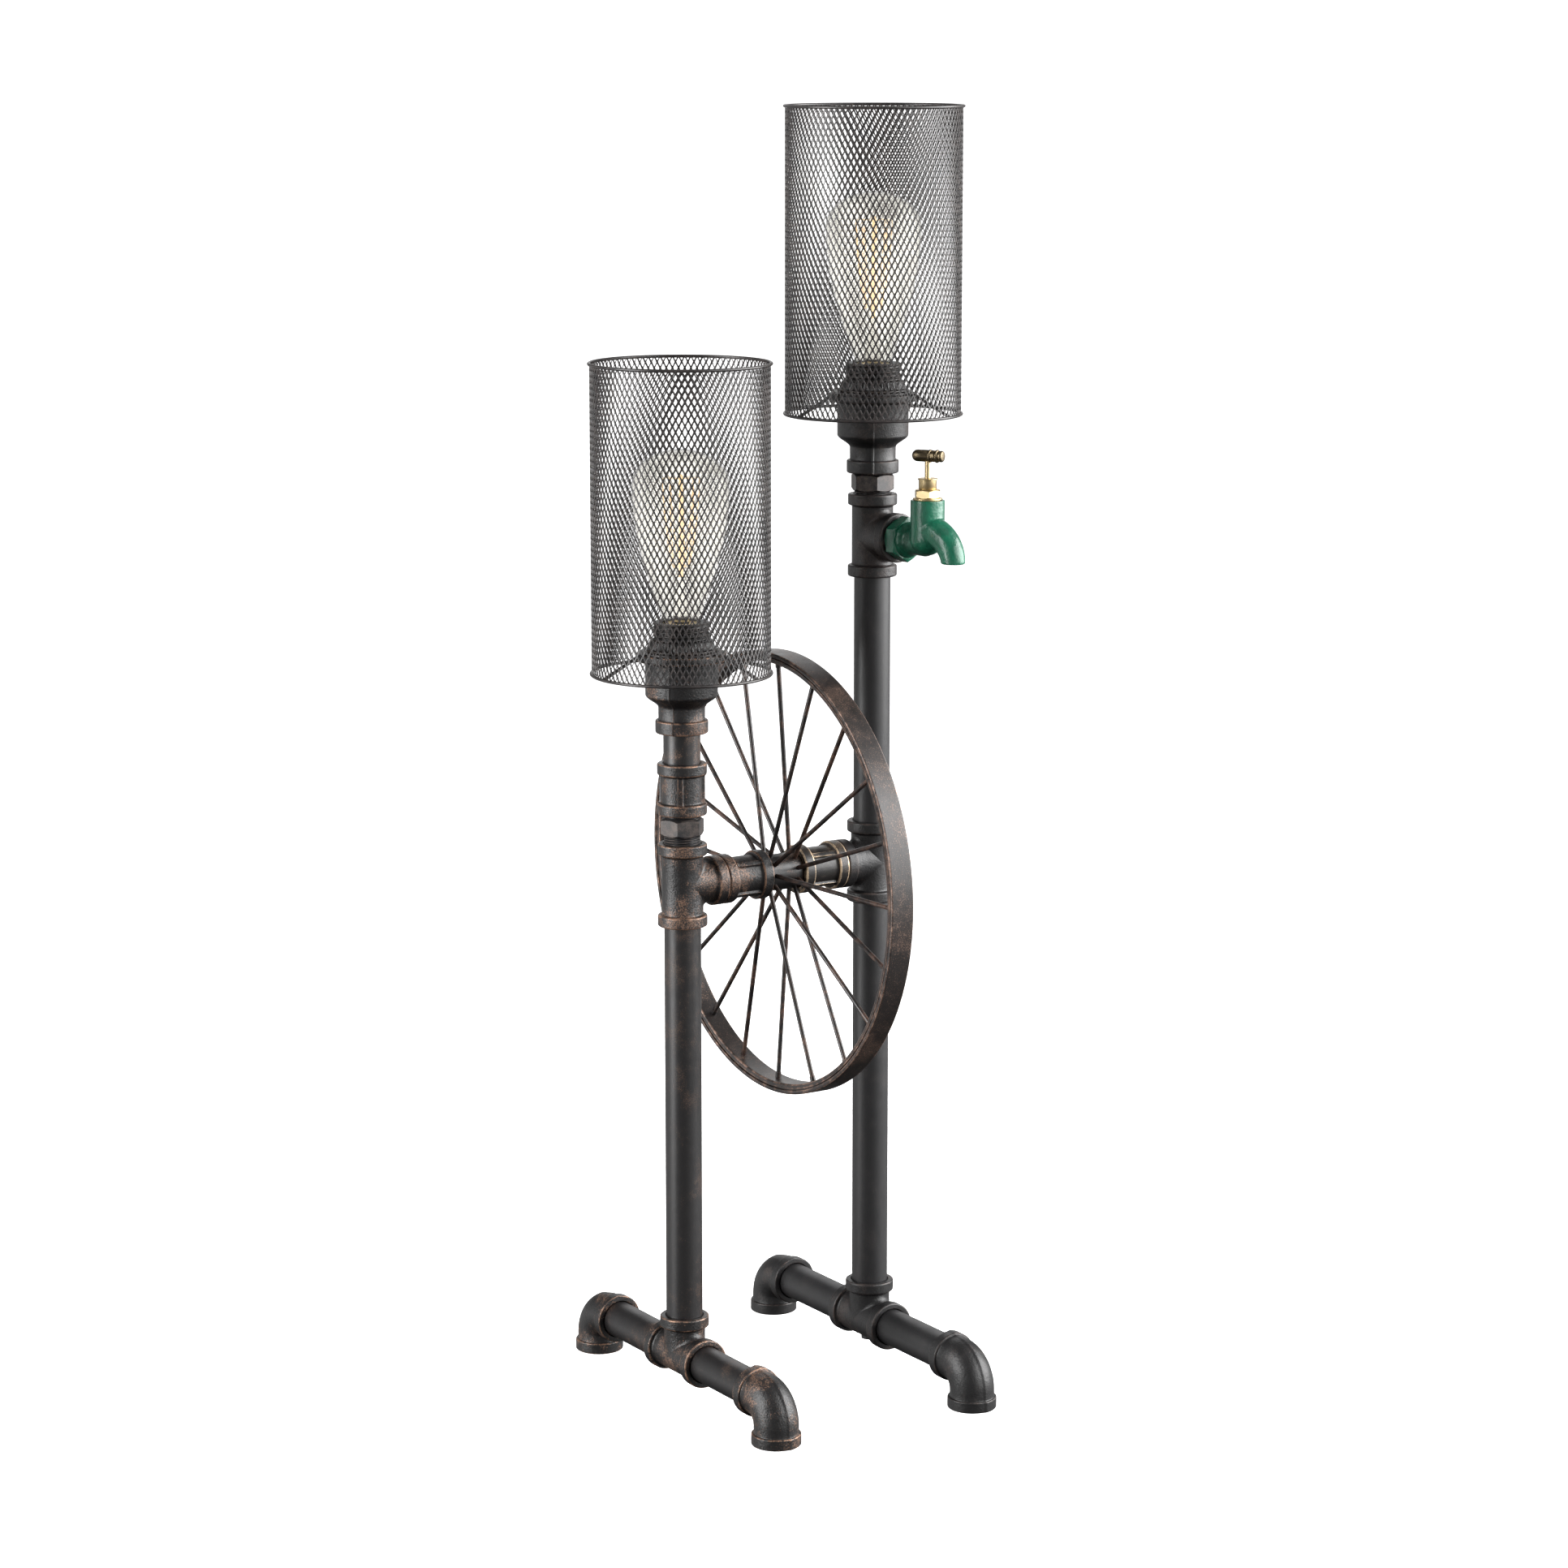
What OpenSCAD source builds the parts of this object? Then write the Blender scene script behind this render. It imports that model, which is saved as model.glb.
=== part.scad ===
// Two-light pipe lamp: a short and a tall post on pipe feet, joined by an axle that carries a spoked
// wheel, with a bib tap on the tall post whose handle turns the lamp switch, and a mesh cylinder
// shade over each bulb.
// X runs along the axle from the short front post to the tall back post, the feet run along Y with
// the near side at -Y, Z is up and the floor is at zero.

/* [Pipe] */
// Outside diameter of the pipe
pipe_od = 26.7; // [24:0.1:30]
// Wall of the pipe
pipe_wall = 2.9; // [2:0.1:4]

/* [Fittings] */
// Wall of a fitting outside its threaded socket
fit_wall = 1.65; // [1.2:0.05:3]
// How far a band stands out from the body of a fitting
band_rise = 2.9; // [2:0.1:4]
// Width of a band
band_w = 8.3; // [5:0.1:11]
// Rounding of the edges of a band
band_edge = 1.2; // [0.4:0.1:1.8]
// Centre of a tee to its face
fit_reach = 30.3; // [27:0.1:36]
// Centre of an elbow to its face
elbow_reach = 31; // [29:0.1:36]
// How much fatter the body of an elbow is than that of a tee, on the radius
elbow_swell = 1.2; // [0:0.1:1.6]
// Depth of a threaded socket
socket_depth = 13; // [10:0.5:14]
// Length of a coupling
coupling_len = 37.6; // [32:0.1:46]
// Number of ribs along a coupling
rib_count = 4; // [2:1:8]
// Width of a rib
rib_w = 4; // [3:0.5:9]
// How far a rib stands out
rib_rise = 1.7; // [0.8:0.1:2.8]
// Width of a mould seam
seam_w = 1.4; // [0.8:0.1:2.5]
// How far a mould seam stands out
seam_rise = 0.5; // [0.2:0.1:1]

/* [Posts and feet] */
// Open length of the lower pipe of each post
lower_post_len = 293.4; // [200:1:400]
// Open length of the upper pipe of the tall post
upper_post_len = 182.4; // [120:1:300]
// Open length of each nipple in the foot of the short post
front_foot_len = 65.2; // [40:1:120]
// Open length of each nipple in the foot of the tall post
back_foot_len = 74.7; // [40:1:120]

/* [Post heads] */
// Width across the flats of a hex nipple
hex_af = 28.4; // [27:0.1:34]
// Height of the hexagon
hex_h = 12.2; // [8:0.1:18]
// Open thread under the hexagon of the short post
front_hex_lift = 6.2; // [1:0.1:10]
// Open thread under the hexagon of the tall post
back_hex_lift = 2.2; // [1:0.1:10]
// Open thread over the hexagon of the short post
front_hex_top_lift = 2.9; // [0.5:0.1:6]
// Open thread over the hexagon of the tall post
back_hex_top_lift = 0.8; // [0.5:0.1:6]
// Gap between the pipe ends inside the coupling of the short post
coupling_gap = 3; // [1:0.5:10]
// Open length of the nipple between that coupling and the bell
neck_len = 22; // [8:0.5:50]

/* [Bell] */
// Diameter of the band at the foot of the bell
bell_foot_od = 38; // [35:0.5:42]
// Height of that band
bell_foot_h = 9.5; // [6:0.1:14]
// Diameter of the neck
bell_neck_od = 33.6; // [31:0.1:36]
// Height at which the neck ends
bell_neck_top = 18.5; // [15:0.1:24]
// Diameter of the bell
bell_od = 52; // [48:0.5:58]
// Height at which the bell reaches that diameter
bell_flare_top = 28; // [25:0.1:32]
// Diameter of the band at the mouth
bell_mouth_od = 64.7; // [58:0.1:72]
// Height of that band
bell_mouth_h = 5.6; // [4:0.1:8]
// Height of the bell
bell_h = 58; // [52:0.5:70]
// Height of the floor that the lampholder stands on
bell_floor = 27; // [24:0.5:32]

/* [Lampholder] */
// Outside diameter of the lampholder
holder_od = 40.6; // [38:0.1:44]
// How far the lampholder stands out of the bell
holder_out = 22; // [16:0.5:34]
// Depth of the hole that takes the bulb
holder_depth = 27; // [25:0.5:30]
// Thickness of the floor under that hole
holder_floor = 6; // [4:0.5:8]
// Wall of the brass screw shell
shell_wall = 0.5; // [0.4:0.1:1]
// Diameter of the ring nut at its foot
ring_foot_od = 52; // [48:0.5:60]
// Diameter of the ring nut at its top
ring_top_od = 44.6; // [43.5:0.1:48]
// Height of the ring nut
ring_h = 8; // [5:0.5:12]

/* [Shade] */
// Height of a shade
shade_h = 223; // [160:1:300]
// Outside diameter of the mesh
mesh_od = 128.6; // [110:0.2:150]
// Thickness of the mesh
mesh_t = 1; // [0.8:0.1:1.6]
// Diamonds round the mesh
mesh_cols = 22; // [12:1:26]
// Rows of diamonds
mesh_rows = 13; // [6:1:15]
// Width of a strand of the mesh
strand_w = 2; // [1.2:0.1:3]
// Plain margin at each end of the mesh
mesh_margin = 3; // [2.5:0.1:8]
// Diameter of the rim wires
rim_wire_d = 2.2; // [1.5:0.1:4]
// Height of the foot of a shade over the foot of its bell
shade_lift = 42; // [34:0.5:48]
// Width of an arm of the shade carrier
arm_w = 5; // [3.5:0.5:12]
// Thickness of the carrier's plate and arms
arm_t = 1.3; // [1:0.1:2.5]
// Number of arms
arm_count = 3; // [3:1:4]

/* [Bulb] */
// Outside diameter of the screw cap
cap_od = 26; // [25.5:0.1:26.4]
// Height of the screw cap
cap_h = 25; // [22:0.5:28]
// Widest diameter of the glass
bulb_od = 69.5; // [55:0.5:80]
// Height of the glass over the cap
bulb_h = 124; // [100:1:150]
// Height over the cap at which the glass is widest
bulb_wide_at = 99; // [75:0.5:115]
// Wall of the glass
glass_wall = 1; // [0.6:0.1:1.6]
// Strands of the filament
filament_count = 8; // [4:1:10]

/* [Wheel] */
// Outside radius of the wheel
wheel_r = 163.3; // [130:0.1:175]
// Width of the rim along the axle
rim_w = 18.4; // [12:0.2:24]
// Thickness of the outer band of the rim
tyre_t = 3; // [2:0.1:5]
// Depth of the rim inside the groove
felloe_t = 3.6; // [2:0.1:8]
// Width and depth of the groove along each side of the rim
rim_groove = 1; // [0.5:0.1:2]
// Number of spokes
spoke_count = 20; // [8:2:24]
// Diameter of a spoke
spoke_d = 3.4; // [2.5:0.1:5]
// Distance of the spoke feet from the middle of the hub
spoke_spread = 9.5; // [5:0.1:10]
// Space for the hub between the couplings
hub_space = 27.6; // [25:0.1:60]
// Diameter of the axle tube inside the hub
axle_d = 18; // [16:0.1:20]
// Wall of the axle tube
axle_wall = 3; // [2:0.1:4]
// Length of the bush that holds the axle in a coupling
bush_len = 20; // [12:0.5:22]

/* [Tap] */
// Turn of the tap from the line of the feet
tap_turn = 6; // [-30:1:30]
// Width across the flats of the inlet hexagon
tap_hex_af = 28.5; // [27.2:0.1:34]
// Width of the inlet hexagon along the tap
tap_hex_w = 9.5; // [6:0.1:14]
// Open thread behind the inlet hexagon
tap_hex_lift = 1.6; // [0.5:0.1:5]
// Axis of the post to the axis of the valve
valve_x = 62; // [58:0.5:75]
// Diameter of the barrel behind the valve
barrel_d = 20.4; // [18:0.1:26]
// Diameter of the valve collar
collar_d = 25.2; // [24:0.1:30]
// Height of the collar over the axis of the inlet
collar_top = 31; // [27:0.1:36]
// Axis of the valve to the axis of the outlet
spout_reach = 28.5; // [24:0.5:36]
// Depth of the outlet under the axis of the inlet
spout_drop = 11; // [8:0.2:24]
// Diameter of the spout where it leaves the body
spout_root_d = 22.6; // [20:0.2:25]
// Diameter of the spout at its mouth
spout_d = 16.4; // [15:0.2:20]
// Bore of the spout
spout_bore = 12; // [8:0.5:13]

/* [Tap headgear and switch] */
// Width across the flats of the bonnet
bonnet_af = 17.4; // [15:0.1:22]
// Height of the bonnet's hexagon
bonnet_h = 6; // [4:0.1:10]
// Diameter of the bonnet's flange
flange_d = 21; // [19:0.5:24]
// Thickness of the flange
flange_t = 1.4; // [1:0.1:3]
// Diameter of the bonnet's thread in the collar
bonnet_thread_d = 18; // [16:0.1:19]
// Length of that thread
bonnet_thread_len = 7.5; // [5:0.5:9]
// Diameter of the gland nut
gland_d = 13; // [11:0.1:15]
// Height of the gland nut
gland_h = 8.2; // [5:0.1:12]
// Diameter of the spindle
spindle_d = 4.4; // [3.6:0.1:7]
// Top of the gland nut to the middle of the cross bar
spindle_out = 16; // [12:0.1:22]
// Diameter of the cross bar
bar_d = 8.6; // [7.6:0.1:12]
// Length of the cross bar
bar_len = 24.5; // [22:0.5:60]
// Turn of the cross bar from the line of the tap
bar_turn = 24; // [-90:1:90]
// Diameter of the rotary switch
switch_d = 17; // [14:0.1:17.6]
// Height of the rotary switch
switch_h = 14; // [10:0.5:16]

/* [Wiring] */
// Diameter of a lamp wire
wire_d = 3; // [2:0.1:3.6]
// Hole for the cord
cord_hole_d = 6; // [5:0.1:8]
// Wall of the cord bush
cord_bush_wall = 1.5; // [1:0.1:2]

/* [Clearances] */
// Gap between a male thread and its socket, on the radius
thread_gap = 0.1; // [0.05:0.05:0.3]
// Running gap of the wheel and of the spindle, on the radius
journal_gap = 0.05; // [0.03:0.01:0.1]
// Gap at each end of the hub
hub_end_gap = 0.3; // [0.2:0.05:1]
// Gap left between pieces that are welded together
weld_gap = 0.05; // [0.02:0.01:0.2]

/* [Hidden] */
$fn = 64;
ARC_STEPS = 5;
CUT = 1;

pipe_id = pipe_od - 2 * pipe_wall;
pipe_r = pipe_od / 2;
bore_r = pipe_id / 2;
socket_r = pipe_r + thread_gap;
fit_r = socket_r + fit_wall;
band_r = fit_r + band_rise;
elbow_r = fit_r + elbow_swell;
elbow_bend = elbow_reach - socket_depth;
// Flat and fillet at the foot of a band, and how much slimmer a branch is than its run
band_step = 0.1;
band_fillet = 1.6;
branch_ease = 0.12;
// Share of its overhang that is cut from each corner of a hexagon
hex_chamfer = 0.6;

// Heights along the posts
foot_z = elbow_reach;
axle_z = foot_z + fit_reach + lower_post_len + fit_reach;
front_hex_z = axle_z + fit_reach + front_hex_lift;
front_coupling_z = front_hex_z + hex_h + front_hex_top_lift;
front_bell_z = front_coupling_z + coupling_len + neck_len;
tap_z = axle_z + fit_reach + upper_post_len + fit_reach;
back_hex_z = tap_z + fit_reach + back_hex_lift;
back_bell_z = back_hex_z + hex_h + back_hex_top_lift;
bell_socket = bell_neck_top - bore_r / 2;
// Directions of the mould seams of the bells
front_seam_turn = -141;
back_seam_turn = -123;
bell_lip = 2;

// Places along the axle
hub_half = hub_space / 2;
axle_tee_face = hub_half + coupling_len;
post_x = axle_tee_face + fit_reach;
front_reach = fit_reach + front_foot_len + elbow_reach;
back_reach = fit_reach + back_foot_len + elbow_reach;
coupling_hold = (coupling_len - coupling_gap) / 2;

// Lampholder, measured from the foot of the bell
holder_r = holder_od / 2;
holder_bore_r = holder_r + thread_gap;
holder_top = bell_h + holder_out;
plate_top = bell_h + arm_t;
cap_r = cap_od / 2;
shell_in = cap_r + thread_gap;
shell_out = shell_in + shell_wall;
contact_t = 1.2;
contact_r = 5;
contact_pin_r = 2;
shell_recess = 2;
holder_pit = holder_top - holder_depth;
cap_tip = holder_pit + contact_t;
cap_top = cap_tip + cap_h;
neck_r = cap_r - 0.4;
wire_room_r = holder_r - 6;
ring_edge = 2;
ring_ease = 0.8;
cap_foot_r = contact_r;
cap_foot_h = 6;

// Shade, measured from the foot of the bell
mesh_r = mesh_od / 2;
rim_ring_r = mesh_r + rim_wire_d / 2 + weld_gap;
plate_r = bell_mouth_od / 2 - 3;
// Turn of the shade carrier, and the shape of its arms
carrier_turn = -62;
arm_root = 4;
arm_over = 1.5;
arm_bend = 3;
arm_rise = 1;
arm_tip = 0.4;

// Wheel
hub_r = pipe_r;
axle_r = axle_d / 2;
rim_in = wheel_r - tyre_t - rim_groove - felloe_t;
rim_step = 0.6;
rim_slope = 1.2;

// Tap, measured from the axis of the post and of the inlet
tap_hex_x = fit_reach + tap_hex_lift;
tap_hex_end = tap_hex_x + tap_hex_w;
bonnet_thread_r = bonnet_thread_d / 2;
valve_bore_r = bonnet_thread_r + thread_gap;
switch_top = collar_top - bonnet_thread_len - CUT / 4;
switch_low = switch_top - switch_h;
valve_floor = -2.6;
ball_lift = 3.2;
flange_top = collar_top + flange_t;
bonnet_top = flange_top + bonnet_h;
gland_top = bonnet_top + gland_h;
bar_z = gland_top + spindle_out;
spindle_r = spindle_d / 2;
spindle_foot = switch_top - 6;
bar_hole = bar_d * 0.6;
tap_bore_r = 6.8;
// Spout: rings and sides of the sweep, its rise over the inlet at the valve, and the lip at its mouth
SPOUT_RINGS = 12;
SPOUT_SIDES = 32;
spout_rise = 9.4;
lip_h = 3.2;
lip_rise = 0.8;
mouth_depth = 6;
collar_ease = 0.3;
gland_rim_t = 1.1;
gland_rim = 0.7;
// Turned rings of the cross bar
bar_groove = 0.6;
bar_groove_w = 1;
bar_land = 2.4;
bar_ease = 1.5;

// Cord bush
cord_bush_r = cord_hole_d / 2 + cord_bush_wall;
cord_flange_r = cord_bush_r + 1.5;
cord_flange_t = 2.5;
cord_seat = fit_r - 1;
cord_bush_in = 2;

// Routes of the wires, from the axis of the post and of the inlet
wire_bead = 0.12;
wire_off = wire_d + 0.6;
wire_sink = -2;
wire_end = switch_low - 0.2;
wire_side = bore_r - wire_d / 2 - 3.2;
wire_turn = bore_r + wire_side;
switch_x = valve_x - 3;
back_switch_x = valve_x + 2;
back_wire_z = wire_off + 0.2;
holder_wire_z = bell_floor + 8;
cord_wire_z = foot_z - 4;

// Points of an arc of radius r round c, from angle a0 to a1
function arc(c, r, a0, a1, n = ARC_STEPS) =
    [for (i = [0:n]) let (a = a0 + (a1 - a0) * i / n) [c[0] + r * cos(a), c[1] + r * sin(a)]];

// Outline of one end of a cast fitting, from the height z0 up to its banded face at z1
function banded_end(body_r, z0, z1) =
    let (
        foot = z1 - band_w,
        rise = band_r - body_r,
        edge = min(band_edge, rise * 0.6),
        fillet = min(rise - edge - band_step, band_fillet)
    )
    concat(
        [[body_r, z0]],
        arc([body_r + fillet, foot - fillet], fillet, 180, 90),
        arc([band_r - edge, foot + edge], edge, -90, 0),
        arc([band_r - edge, z1 - edge], edge, 0, 90),
        [[0, z1]]
    );

// The same outline turned over, for the lower end
function turned_over(points) = [for (i = [len(points) - 1:-1:0]) [points[i][0], -points[i][1]]];

// A round bar with a banded face at each end, standing on its middle
module banded_bar(half) {
    up = banded_end(fit_r, 0, half);
    rotate_extrude()
        polygon(concat(turned_over(up), up));
}

// A tube from z0 to z1
module tube(outer, inner, z0, z1) {
    translate([0, 0, z0])
        difference() {
            cylinder(h = z1 - z0, r = outer);
            translate([0, 0, -CUT])
                cylinder(h = z1 - z0 + 2 * CUT, r = inner);
        }
}

// Malleable tee: run along Z, branch along +X, a threaded socket in each face
module tee() {
    difference() {
        union() {
            banded_bar(fit_reach);
            rotate([0, 90, 0])
                rotate_extrude()
                    polygon(concat([[0, 0]], banded_end(fit_r - branch_ease, 0, fit_reach)));
        }
        cylinder(h = 2 * fit_reach + 2 * CUT, r = bore_r, center = true);
        rotate([0, 90, 0])
            cylinder(h = fit_reach + CUT, r = bore_r - branch_ease);
        for (turn = [[0, 0, 0], [180, 0, 0], [0, 90, 0]])
            rotate(turn)
                translate([0, 0, fit_reach - socket_depth])
                    cylinder(h = socket_depth + CUT, r = socket_r);
    }
}

// Malleable elbow: one mouth down, the other along +Y, with the mould seam round its back
module elbow() {
    bend_place = [0, elbow_bend, -elbow_bend];
    difference() {
        union() {
            translate(bend_place)
                rotate([0, 90, 0])
                    rotate([0, 0, 180])
                        rotate_extrude(angle = 90)
                            translate([elbow_bend, 0])
                                circle(elbow_r);
            translate(bend_place)
                rotate([0, 90, 0])
                    elbow_seam();
            for (arm = [0, 1])
                elbow_arm(arm)
                    rotate_extrude()
                        polygon(concat([[0, 0]], banded_end(elbow_r, 0, socket_depth)));
        }
        translate(bend_place)
            rotate([0, 90, 0])
                rotate([0, 0, 180])
                    rotate_extrude(angle = 90)
                        translate([elbow_bend, 0])
                            circle(bore_r);
        for (arm = [0, 1])
            elbow_arm(arm)
                cylinder(h = socket_depth + CUT, r = socket_r);
    }
}

// Stands its children on the start of the elbow's lower arm (0) or level arm (1)
module elbow_arm(arm) {
    translate(arm == 0 ? [0, 0, -elbow_bend] : [0, elbow_bend, 0])
        rotate(arm == 0 ? [180, 0, 0] : [-90, 0, 0])
            children();
}

// Quarter ring that follows the outer bend
module elbow_seam() {
    outer = elbow_bend + elbow_r + seam_rise;
    linear_extrude(seam_w, center = true)
        polygon(concat([[-elbow_bend, 0]], arc([0, 0], outer, 180, 270, 12), [[0, -elbow_bend]]));
}

// Malleable coupling along Z, standing on its middle
module coupling() {
    half = coupling_len / 2;
    difference() {
        union() {
            banded_bar(half);
            for (i = [0:rib_count - 1])
                rotate([0, 0, 360 / rib_count * (i + 0.5)])
                    translate([0, -rib_w / 2, band_w / 2 - half])
                        cube([fit_r + rib_rise, rib_w, coupling_len - band_w]);
        }
        cylinder(h = coupling_len + 2 * CUT, r = socket_r, center = true);
    }
}

// Hexagon with chamfered corners, from z0 up
module hexagon(af, h, z0) {
    corner = af / sqrt(3);
    flat = af / 2;
    drop = (corner - flat) * hex_chamfer;
    translate([0, 0, z0])
        intersection() {
            cylinder(h = h, r = corner, $fn = 6);
            rotate_extrude()
                polygon([[0, 0], [flat, 0], [corner, drop], [corner, h - drop], [flat, h], [0, h]]);
        }
}

// Nipple with a hexagon at z0: open threads lift and top_lift, then one in the socket below and one
// of length hold above
module hex_nipple(z0, lift, top_lift, hold) {
    low = z0 - lift - socket_depth;
    high = z0 + hex_h + top_lift + hold;
    difference() {
        union() {
            translate([0, 0, low])
                cylinder(h = high - low, r = pipe_r);
            hexagon(hex_af, hex_h, z0);
        }
        translate([0, 0, low - CUT])
            cylinder(h = high - low + 2 * CUT, r = bore_r);
    }
}

// Outline of the outside of the bell, grown by g on the radius
function bell_outline(g = 0) =
    let (
        foot = bell_foot_od / 2 + g,
        neck = bell_neck_od / 2 + g,
        bell = bell_od / 2 + g,
        mouth = bell_mouth_od / 2 + g,
        mouth_z = bell_h - bell_mouth_h,
        rise = bell_flare_top - bell_neck_top
    )
    concat(
        arc([foot - band_edge, band_edge], band_edge, -90, 0),
        arc([foot - band_edge, bell_foot_h - band_edge], band_edge, 0, 90),
        [[neck, bell_foot_h]],
        [
            for (i = [0:8]) let (t = i / 8)
                [neck + (bell - neck) * (1 - cos(180 * t)) / 2, bell_neck_top + rise * t]
        ],
        [[bell, mouth_z - bell_lip]],
        [[bell + bell_lip, mouth_z]],
        arc([mouth - band_edge, mouth_z + band_edge], band_edge, -90, 0),
        arc([mouth - band_edge, bell_h - band_edge], band_edge, 0, 90)
    );

// Bell reducer: a pipe socket at its foot and a wide mouth for the lampholder
module bell(seam_angle) {
    side = [for (p = bell_outline(seam_rise)) if (p[1] < bell_h - bell_mouth_h) p];
    difference() {
        union() {
            rotate_extrude()
                polygon(concat([[0, 0]], bell_outline(), [[0, bell_h]]));
            rotate([90, 0, seam_angle])
                linear_extrude(seam_w, center = true)
                    polygon(concat(side, [for (i = [len(side) - 1:-1:0]) [-side[i][0], side[i][1]]]));
        }
        translate([0, 0, -CUT])
            cylinder(h = bell_socket + CUT, r = socket_r);
        cylinder(h = bell_h, r = bore_r);
        translate([0, 0, bell_floor])
            cylinder(h = bell_h, r = holder_bore_r);
    }
}

// Lampholder body with a screw hole above and room for the wires below
module lampholder() {
    difference() {
        translate([0, 0, bell_floor])
            cylinder(h = holder_top - bell_floor, r = holder_r);
        translate([0, 0, holder_pit])
            cylinder(h = holder_depth + CUT, r = shell_out + thread_gap);
        translate([0, 0, bell_floor - CUT])
            cylinder(h = holder_pit - holder_floor - bell_floor + CUT, r = wire_room_r);
        translate([0, 0, bell_floor])
            cylinder(h = holder_top - bell_floor, r = contact_pin_r + thread_gap);
    }
}

// Screw shell and centre contact, two separate brass pieces
module contacts() {
    tube(shell_out, shell_in, holder_pit, holder_top - shell_recess);
    translate([0, 0, holder_pit])
        cylinder(h = contact_t, r = contact_r);
    translate([0, 0, holder_pit - holder_floor])
        cylinder(h = holder_floor, r = contact_pin_r);
}

// Ring nut that clamps the shade carrier on the bell
module ring_nut() {
    low = plate_top;
    difference() {
        rotate_extrude()
            polygon([
                [0, low], [ring_foot_od / 2, low], [ring_foot_od / 2, low + ring_edge],
                [ring_top_od / 2, low + ring_h - ring_ease], [ring_top_od / 2 - ring_ease, low + ring_h],
                [0, low + ring_h]
            ]);
        translate([0, 0, low - CUT])
            cylinder(h = ring_h + 2 * CUT, r = holder_bore_r);
    }
}

// Plate on the mouth of the bell, arms over its edge and the bottom rim wire of the shade
module shade_carrier(turn) {
    root = plate_r - arm_root;
    shoulder = bell_mouth_od / 2 + arm_over;
    bend = mesh_r - arm_bend;
    ring_z = shade_lift + rim_wire_d / 2;
    difference() {
        translate([0, 0, bell_h])
            cylinder(h = arm_t, r = plate_r);
        cylinder(h = 2 * bell_h, r = holder_bore_r);
    }
    translate([0, 0, ring_z])
        rotate_extrude()
            translate([rim_ring_r, 0])
                circle(rim_wire_d / 2);
    for (i = [0:arm_count - 1])
        rotate([0, 0, turn + 360 / arm_count * i])
            rotate([90, 0, 0])
                linear_extrude(arm_w, center = true)
                    polygon([
                        [root, bell_h], [shoulder, bell_h], [bend, ring_z + arm_rise],
                        [rim_ring_r, ring_z - arm_tip], [rim_ring_r, ring_z + arm_tip],
                        [bend, ring_z + arm_rise + arm_t], [shoulder, plate_top], [root, plate_top]
                    ]);
}

// Wall of the shade pierced by staggered diamonds
module shade_mesh() {
    inner = mesh_r - mesh_t;
    pitch = 360 / mesh_cols;
    half_w = PI * (mesh_r + inner) / mesh_cols / 2;
    half_h = (shade_h - 2 * mesh_margin) / (mesh_rows + 1);
    edge_distance = half_w * half_h / norm([half_w, half_h]);
    k = 1 - strand_w / 2 / edge_distance;
    notch_h = rim_wire_d / 2 + arm_rise + arm_t + arm_tip;
    translate([0, 0, shade_lift])
        difference() {
            cylinder(h = shade_h, r = mesh_r);
            translate([0, 0, -CUT])
                cylinder(h = shade_h + 2 * CUT, r = inner);
            for (row = [1:mesh_rows])
                for (col = [0:mesh_cols - 1])
                    rotate([0, 0, (col + (row % 2) / 2) * pitch])
                        translate([inner - CUT, 0, mesh_margin + row * half_h])
                            rotate([90, 0, 90])
                                linear_extrude(mesh_t + 2 * CUT)
                                    polygon(k * [[half_w, 0], [0, half_h], [-half_w, 0], [0, -half_h]]);
            for (arm = [0:arm_count - 1])
                rotate([0, 0, carrier_turn + 360 / arm_count * arm])
                    translate([inner - CUT, -arm_w / 2 - thread_gap, -CUT])
                        cube([mesh_t + 2 * CUT, arm_w + 2 * thread_gap, notch_h + CUT]);
        }
}

// Rim wire round the top of the mesh
module shade_top_wire() {
    translate([0, 0, shade_lift + shade_h - rim_wire_d / 2])
        rotate_extrude()
            translate([rim_ring_r, 0])
                circle(rim_wire_d / 2);
}

// Radius of the glass at the height z over the cap, inset by the wall g
function glass_r(z, g) =
    let (wide = bulb_od / 2 - g, low = neck_r - g, top = bulb_h - g)
    z < bulb_wide_at
        ? low + (wide - low) * sin(90 * z / bulb_wide_at)
        : wide * sqrt(max(0, 1 - pow((z - bulb_wide_at) / (top - bulb_wide_at), 2)));

// Half outline of the glass, from the neck to the crown
function glass_outline(g) =
    let (top = bulb_h - g)
    concat(
        [for (i = [0:12]) let (z = bulb_wide_at * i / 12) [glass_r(z, g), z]],
        [
            for (i = [1:9]) let (z = bulb_wide_at + (top - bulb_wide_at) * sin(90 * i / 10))
                [glass_r(z, g), z]
        ],
        [[0, top]]
    );

// Hollow glass, open at the neck where it joins the cap
module bulb_glass() {
    inside = glass_outline(glass_wall);
    translate([0, 0, cap_top])
        rotate_extrude()
            polygon(concat(glass_outline(0), [for (i = [len(inside) - 1:-1:0]) inside[i]]));
}

// Screw cap with its insulated foot and centre contact
module bulb_cap() {
    rotate_extrude()
        polygon([
            [0, cap_tip], [cap_foot_r, cap_tip], [cap_foot_r, cap_tip + contact_t],
            [cap_r, cap_tip + cap_foot_h], [cap_r, cap_top], [0, cap_top]
        ]);
}

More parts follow.
